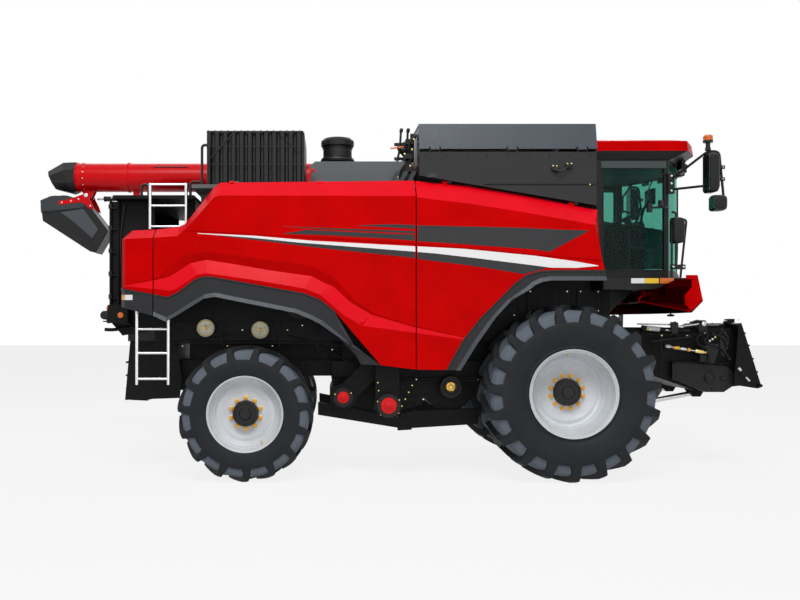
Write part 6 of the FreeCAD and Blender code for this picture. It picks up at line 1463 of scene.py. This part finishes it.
def back_details():
    """Hood ribs and latch, chopper vanes and knives, tread plate, deck seams and cover ribs."""
    bm = bmesh.new()
    low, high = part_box("rear_hood")
    back = low.x
    for z in (2.95, 2.62, 2.30):
        block(bm, (back - 0.012, -0.72, z), (back + 0.004, 0.72, z + 0.035), 0, 0.004)
    for y in (-0.70, -0.35, 0.0, 0.35, 0.70):
        block(bm, (back - 0.010, y - 0.014, 1.96), (back + 0.004, y + 0.014, 2.96))
    block(bm, (back - 0.02, -0.12, 2.68), (back + 0.002, 0.12, 2.80), 1, 0.006)
    bent(bm, [
        (back - 0.01, -0.08, 2.72), (back - 0.05, -0.08, 2.72), (back - 0.05, 0.08, 2.72),
        (back - 0.01, 0.08, 2.72),
    ], 0.009, 0.02, 8, 2)
    for y in (-0.74, 0.74):
        bolts_along(bm, (back, y, 2.0), (back, y, 3.04), 10, (-1, 0, 0), 0.009, 2)
    bolts_along(bm, (back, -0.68, 3.045), (back, 0.68, 3.045), 12, (-1, 0, 0), 0.008, 2)
    # Rubber apron that closes the gap between the hood and the chopper.
    block(bm, at(-4.89, -0.70, 1.495), at(-4.46, 0.70, 1.60), 1, 0.01)
    for y in (-0.765, 0.755):
        block(bm, at(-4.87, y, 1.502), at(-4.46, y + 0.01, 1.62), 1)
    finish_mesh("hood_ribs", bm, "rear_hood", (CHASSIS, BLACK_PLASTIC, STEEL), bevel=0.0015)

    bm = bmesh.new()
    low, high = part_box("straw_chopper")
    for k in range(9):
        y = -0.56 + 0.14 * k
        lean = 0.05 * (k - 4) / 4
        fin = ((0.02, 0, 0.03), (0.26, lean, 0.03), (0.26, lean, -0.012), (0.05, 0, -0.008))
        fin = [Vector((low.x + dx, y + dy, low.z + dz)) for dx, dy, dz in fin]
        add_faces(bm, [[p + Vector((0, half, 0)) for p in fin] for half in (-0.004, 0.004)])
    for z in (0.95, 1.1, 1.25):
        tube(bm, [(low.x + 0.012, -0.62, z), (low.x + 0.012, 0.62, z)], 0.012, 8, 1)
    bolts_along(bm, (low.x + 0.03, -0.6, low.z + 0.42), (low.x + 0.03, 0.6, low.z + 0.42), 9, (-1, 0, 0), 0.01, 1)
    finish_mesh("chopper_vanes", bm, "straw_chopper", (CHASSIS, STEEL), bevel=0.001)

    bm = bmesh.new()
    low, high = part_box("rear_walkway")
    for i in range(24):
        for j in range(46):
            x = low.x + 0.04 + i * (high.x - low.x - 0.08) / 23
            y = low.y + 0.04 + j * (high.y - low.y - 0.08) / 45
            turn = 0.011 if (i + j) % 2 else -0.011
            bar = [
                (x - 0.011, y - turn), (x - 0.009, y - turn + 0.004), (x + 0.011, y + turn),
                (x + 0.009, y + turn - 0.004),
            ]
            prism(bm, bar, "z", high.z - 0.001, high.z + 0.0025)
    finish_mesh("walkway_tread", bm, "rear_walkway", CHASSIS)

    bm = bmesh.new()
    for y in (-0.95, -0.15, 0.10, 0.6, 1.05):
        block(bm, at(-4.05, y - 0.006, 3.2095), at(-2.86 if y > -0.2 else -3.95, y + 0.006, 3.214))
    for x in (-3.6, -3.2, -2.82):
        block(bm, at(x - 0.006, -0.08, 3.2095), at(x + 0.006, 1.15, 3.214))
    for x, y in ((-4.0, 0.2), (-4.0, 1.0), (-3.3, 0.2), (-3.3, 1.0), (-2.9, 0.2), (-2.9, 1.0)):
        bolt(bm, at(x, y, 3.211), (0, 0, 1), 0.011, 1)
    # Service hatch with its handle and two hinges.
    block(bm, at(-3.95, 0.15, 3.209), at(-3.25, 0.95, 3.222), 0, 0.02)
    bent(bm, [
        at(-3.85, 0.45, 3.22), at(-3.85, 0.45, 3.25), at(-3.85, 0.65, 3.25), at(-3.85, 0.65, 3.22)
    ], 0.009, 0.02, 8, 1)
    for y in (0.3, 0.8):
        tube(bm, [at(-3.26, y - 0.05, 3.224), at(-3.26, y + 0.05, 3.224)], 0.01, 10, 1, 1)
    low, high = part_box("radiator_housing")
    for k in range(7):
        y = low.y + 0.1 + k * 0.12
        block(bm, (low.x + 0.06, y - 0.01, high.z - 0.001), (high.x - 0.06, y + 0.01, high.z + 0.006), 2)
    finish_mesh("deck_seams", bm, "engine_deck", (GREY_PLASTIC, STEEL, BLACK_PLASTIC), bevel=0.0015)

    for word, side in SIDES:
        name = "tank_cover_" + word
        bm = bmesh.new()
        skin = skin_of(name)
        for x in (-1.50, -0.95, -0.40, 0.15):
            rows = []
            for k in range(9):
                y = side * (0.30 + k * 0.115)
                spot = skin.ray_cast(at(x, y, SKY), Vector((0, 0, -1)))[0]
                rows.append((y, spot.z if spot else COVER_Z))
            for (y0, z0), (y1, z1) in zip(rows, rows[1:]):
                corners = [at(x - 0.02, y0, z0), at(x + 0.02, y0, z0), at(x + 0.02, y1, z1), at(x - 0.02, y1, z1)]
                add_faces(bm, [[c + Vector((0, 0, rise)) for c in corners] for rise in (-0.002, 0.005)])
        y = 0.90 * side
        for x in (-1.3, -0.1):
            z = skin.ray_cast(at(x, y, SKY), Vector((0, 0, -1)))[0].z
            bent(bm, [
                at(x, y, z), at(x, y, z + 0.02), at(x + 0.14, y, z + 0.02), at(x + 0.14, y, z)
            ], 0.006, 0.012, 8)
        finish_mesh("cover_ribs_" + word, bm, name, COVER_GREY, bevel=0.001)


def under_details():
    """Chains, belts, grease lines and small fittings on the body's sides between the wheels."""
    for word, side in SIDES:
        bm = bmesh.new()
        out = Vector((0, side, 0))
        face, outer = BODY_SIDE * side, BODY_SIDE * side + 0.012 * side
        # Linkage bars and chain guards.
        for x0, z0, x1, z1 in ((-4.25, 1.50, -3.70, 1.58), (-3.05, 1.56, -2.35, 1.44), (-2.55, 1.36, -2.15, 1.20)):
            tube(bm, [
                at(x0, outer, z0), at((x0 + x1) / 2, outer, (z0 + z1) / 2 - 0.02), at(x1, outer, z1)
            ], 0.010, 8, 4, 1)
        for k in range(14):
            x = -4.25 + 0.17 * k
            z = (1.44 if x < -2.6 else 1.22) + 0.05 * math.sin(2.1 * k) + 0.14 * (k % 3)
            bolt(bm, at(x, face, z), out, 0.007, 3 if k % 2 else 2)
        for x in (-4.40, -3.80, -3.15, -2.72):
            block(bm, at(x - 0.012, face, 1.42), at(x + 0.012, face + 0.02 * side, 1.72))
        for z in (1.47, 1.70):
            block(bm, at(-4.45, face, z), at(-2.55, face + 0.014 * side, z + 0.02))
        # Main rail: holes with collars, and hydraulic lines clipped along it.
        for dz in (0.0, 0.028):
            tube(bm, [
                at(-2.42, outer, 1.075 - dz), at(-1.9, outer, 1.072 - dz), at(-1.2, outer, 1.08 - dz),
                at(0.35, outer, 1.12 - dz),
            ], 0.008, 8, 5, 1)
        for x in (-2.3, -1.6, -0.9, -0.3):
            block(bm, at(x - 0.015, face, 1.03), at(x + 0.015, face + 0.024 * side, 1.10))
            bolt(bm, at(x, face + 0.024 * side, 1.065), out, 0.007, 2)
        # Pressings and bosses on the separator's side above the front wheel.
        for x0, z0, x1, z1 in ((-1.0, 1.75, -0.45, 2.12), (-0.35, 1.78, 0.15, 2.10), (0.22, 1.80, 0.50, 2.10)):
            block(bm, at(x0, face, z0), at(x1, outer, z1), 0, 0.004)
            for x, z in (
                (x0 + 0.04, z0 + 0.04), (x1 - 0.04, z0 + 0.04), (x0 + 0.04, z1 - 0.04), (x1 - 0.04, z1 - 0.04)
            ):
                bolt(bm, at(x, outer, z), out, 0.008, 2)
        finish_mesh("side_fittings_" + word, bm, "separator_body", (CHASSIS, HOSE, STEEL, BRASS), bevel=0.0015)


def window_films():
    """Bonded glass over the cab frame's top rail, and the darker film low on the right window."""
    for word, side in SIDES:
        bm = bmesh.new()
        plate(bm, [(0.478, 3.452), (1.215, 3.452), (1.215, 3.528), (0.478, 3.528)], 0.838 * side, 0.834 * side)
        finish_mesh("glass_edge_" + word, bm, "cab_frame", GLASS_EDGE, bevel=0.001)
    bm = bmesh.new()
    plate(bm, [(0.508, 2.312), (1.188, 2.312), (1.188, 2.753), (0.508, 2.853)], -0.812, -0.810)
    for x in (0.80, 1.06):
        block(bm, at(x, -0.8135, 2.312), at(x + 0.01, -0.8095, 2.78), 1)
    block(bm, at(0.81, -0.8135, 2.55), at(1.06, -0.8095, 2.56), 1)
    finish_mesh("window_film", bm, "cab_glass", (LOWER_FILM, BLACK_PLASTIC))


back_details()
under_details()
window_films()


# ---------------------------------------------------------------- stripes
def level(curve, x):
    """Height of a polyline at x."""
    for (x0, z0), (x1, z1) in zip(curve, curve[1:]):
        if x <= x1:
            return z0 + (z1 - z0) * (x - x0) / (x1 - x0)
    return curve[-1][1]


FILM_COLUMNS, FILM_ROWS = 30, 4
FILM_MARGIN = 0.006


def film(name, node, side, upper, lower, material, lift=0.0012):
    """Sticker that follows a panel's outer sheet between two edges, ending with the panel."""
    low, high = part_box(node)
    skin = skin_of(node)
    start = max(upper[0][0], low.x - AXLE_X + FILM_MARGIN)
    stop = min(upper[-1][0], high.x - AXLE_X - FILM_MARGIN)
    if stop <= start:
        return
    cuts = {x for x, _ in upper + lower if start < x < stop}
    cuts |= {start + (stop - start) * k / FILM_COLUMNS for k in range(FILM_COLUMNS + 1)}
    bm = bmesh.new()
    rows = []
    for x in sorted(cuts):
        top, foot = level(upper, x), level(lower, x)
        row = []
        for k in range(FILM_ROWS + 1):
            point = at(x, 2 * side, foot + (top - foot) * k / FILM_ROWS)
            spot = skin.ray_cast(point, Vector((0, -side, 0)))[0]
            point.y = (spot.y if spot else DOOR_SIDE * side) + lift * side
            row.append(bm.verts.new(point))
        rows.append(row)
    for a, b in zip(rows, rows[1:]):
        for k in range(FILM_ROWS):
            bm.faces.new((a[k], b[k], b[k + 1], a[k + 1]))
    finish_mesh(name, bm, node, material, angle=60)


WHITE_TOP = [
    (-3.983, 2.657), (-3.373, 2.628), (-2.779, 2.576), (-1.781, 2.522), (-1.144, 2.49), (-0.4, 2.416),
    (0.046, 2.354), (0.274, 2.312),
]
WHITE_FOOT = [
    (-3.983, 2.651), (-3.373, 2.604), (-2.927, 2.557), (-1.781, 2.467), (-1.441, 2.438), (-0.995, 2.386),
    (-0.549, 2.33), (-0.225, 2.289), (0.046, 2.287), (0.274, 2.306),
]
SHADE_FOOT = [
    (-3.756, 2.628), (-3.225, 2.565), (-2.779, 2.509), (-2.184, 2.445), (-1.781, 2.404), (-1.589, 2.374),
    (-1.144, 2.319), (-0.846, 2.275), (-0.517, 2.219), (-0.283, 2.281),
]
SHADE_TOP = [(x, level(WHITE_FOOT, x)) for x in (-3.756, -3.373, -2.927, -1.781, -1.441, -0.995, -0.549, -0.283)]
STREAKS = [
    (
        [(-2.284, 2.738), (-2.099, 2.746), (-1.887, 2.75), (-1.674, 2.742)],
        [(-2.284, 2.733), (-2.099, 2.725), (-1.887, 2.713), (-1.674, 2.699)],
    ),
    ([(-3.087, 2.73), (-2.63, 2.71), (-1.908, 2.686), (-1.674, 2.678)], [
        (-3.087, 2.726), (-2.842, 2.71), (-2.63, 2.695), (-1.908, 2.662), (-1.674, 2.651)
    ]),
    (
        [(-3.076, 2.653), (-2.896, 2.676), (-2.853, 2.691), (-2.63, 2.682), (-1.908, 2.648), (-1.674, 2.64)],
        [(-3.076, 2.648), (-2.63, 2.634), (-1.908, 2.594), (-1.674, 2.574)],
    ),
    (
        [(-1.65, 2.738), (-1.218, 2.729), (-0.559, 2.714), (-0.114, 2.692), (0.176, 2.685)],
        [(-1.65, 2.57), (-1.218, 2.542), (-0.427, 2.485), (-0.248, 2.457), (0.176, 2.682)],
    ),
]
for word, side in SIDES:
    for door in ("rear_door_", "front_door_"):
        film("stripe_white_" + door + word, door + word, side, WHITE_TOP, WHITE_FOOT, STRIPE_WHITE_PAINTED_GLOW)
        film("stripe_shade_" + door + word, door + word, side, SHADE_TOP, SHADE_FOOT, STRIPE_BLACK)
        for k, (top, foot) in enumerate(STREAKS):
            film(f"streak_{k}_" + door + word, door + word, side, top, foot, STRIPE_BLACK)
    # Near-black red sheet on the nose's cheeks under the platform: painted shade.
    film(
        "nose_cheek_painted_shade_" + word, "nose_panel", side, [(0.72, 1.978), (1.10, 2.168), (1.262, 2.168)],
        [(0.72, 1.9347), (1.262, 1.8264)], RED_PAINTED_SHADE, 0.0015,
    )


markers()


# ---------------------------------------------------------------- stage
FLOOR_REACH = 60.0
FLOOR_WHITE = 0.85
SENSOR_WIDTH = 36.0
FOCAL_LENGTH = SENSOR_WIDTH * 857 / 800
CAMERA_SHIFT = (0.0875, 0.03125)
CAMERA_PLACE = (AXLE_X - 2.577, -10.5, 1.68)


def stage_set():
    """Plain pale floor and a white world that lights softly."""
    scene = bpy.context.scene
    mesh = bpy.data.meshes.new("floor")
    reach = FLOOR_REACH
    mesh.from_pydata([
        (-reach, -reach, 0), (reach, -reach, 0), (reach, reach, 0), (-reach, reach, 0)
    ], [], [(0, 1, 2, 3)])
    floor = bpy.data.objects.new("floor", mesh)
    scene.collection.objects.link(floor)
    mat = bpy.data.materials.new("floor")
    mat.use_nodes = True
    tree = mat.node_tree
    tree.nodes.clear()
    out = tree.nodes.new("ShaderNodeOutputMaterial")
    matt = tree.nodes.new("ShaderNodeBsdfDiffuse")
    matt.inputs["Color"].default_value = (0.82, 0.82, 0.82, 1)
    bright = tree.nodes.new("ShaderNodeEmission")
    bright.inputs["Color"].default_value = (1, 1, 1, 1)
    bright.inputs["Strength"].default_value = 1.0
    mix_shaders(tree, combined(tree, "MULTIPLY", seen(tree), FLOOR_WHITE), matt, bright, out.inputs[0])
    mesh.materials.append(mat)

    world = bpy.data.worlds.new("studio")
    scene.world = world
    world.use_nodes = True
    tree = world.node_tree
    tree.nodes.clear()
    out = tree.nodes.new("ShaderNodeOutputWorld")
    soft = tree.nodes.new("ShaderNodeBackground")
    soft.inputs["Color"].default_value = (0.95, 0.97, 1.0, 1)
    soft.inputs["Strength"].default_value = 0.12
    white = tree.nodes.new("ShaderNodeBackground")
    white.inputs["Color"].default_value = (1, 1, 1, 1)
    mix_shaders(tree, seen(tree), soft, white, out.inputs[0])


def seen(tree):
    """1 for rays from the camera, off gloss and through glass, else 0."""
    path = tree.nodes.new("ShaderNodeLightPath")
    most = path.outputs["Is Camera Ray"]
    for name in ("Is Glossy Ray", "Is Transmission Ray"):
        most = combined(tree, "MAXIMUM", most, path.outputs[name])
    return most


def lamp(name, place, target, size, power):
    """Rectangular lamp turned towards a point."""
    data = bpy.data.lights.new(name, "AREA")
    data.shape = "RECTANGLE"
    data.size, data.size_y = size
    data.energy = power
    obj = bpy.data.objects.new(name, data)
    obj.location = place
    obj.rotation_euler = (Vector(target) - Vector(place)).to_track_quat("-Z", "Y").to_euler()
    bpy.context.scene.collection.objects.link(obj)


def camera():
    """Level view from the machine's right, as in the photograph."""
    data = bpy.data.cameras.new("camera")
    data.sensor_width = SENSOR_WIDTH
    data.lens = FOCAL_LENGTH
    data.shift_x, data.shift_y = CAMERA_SHIFT
    obj = bpy.data.objects.new("camera", data)
    obj.location = CAMERA_PLACE
    obj.rotation_euler = (math.radians(90), 0, 0)
    bpy.context.scene.collection.objects.link(obj)
    bpy.context.scene.camera = obj


stage_set()
camera()
lamp("key", (-1.0, -11.0, 14.0), (0, 0, 1.5), (10, 5), 1560)
lamp("fill", (1.5, -14, 3.0), (0, 0, 1.6), (12, 5), 170)
lamp("rim_light", (0, 7.0, 8.0), (0, 0, 2.0), (12, 4), 200)

bpy.context.scene.view_settings.view_transform = "Standard"
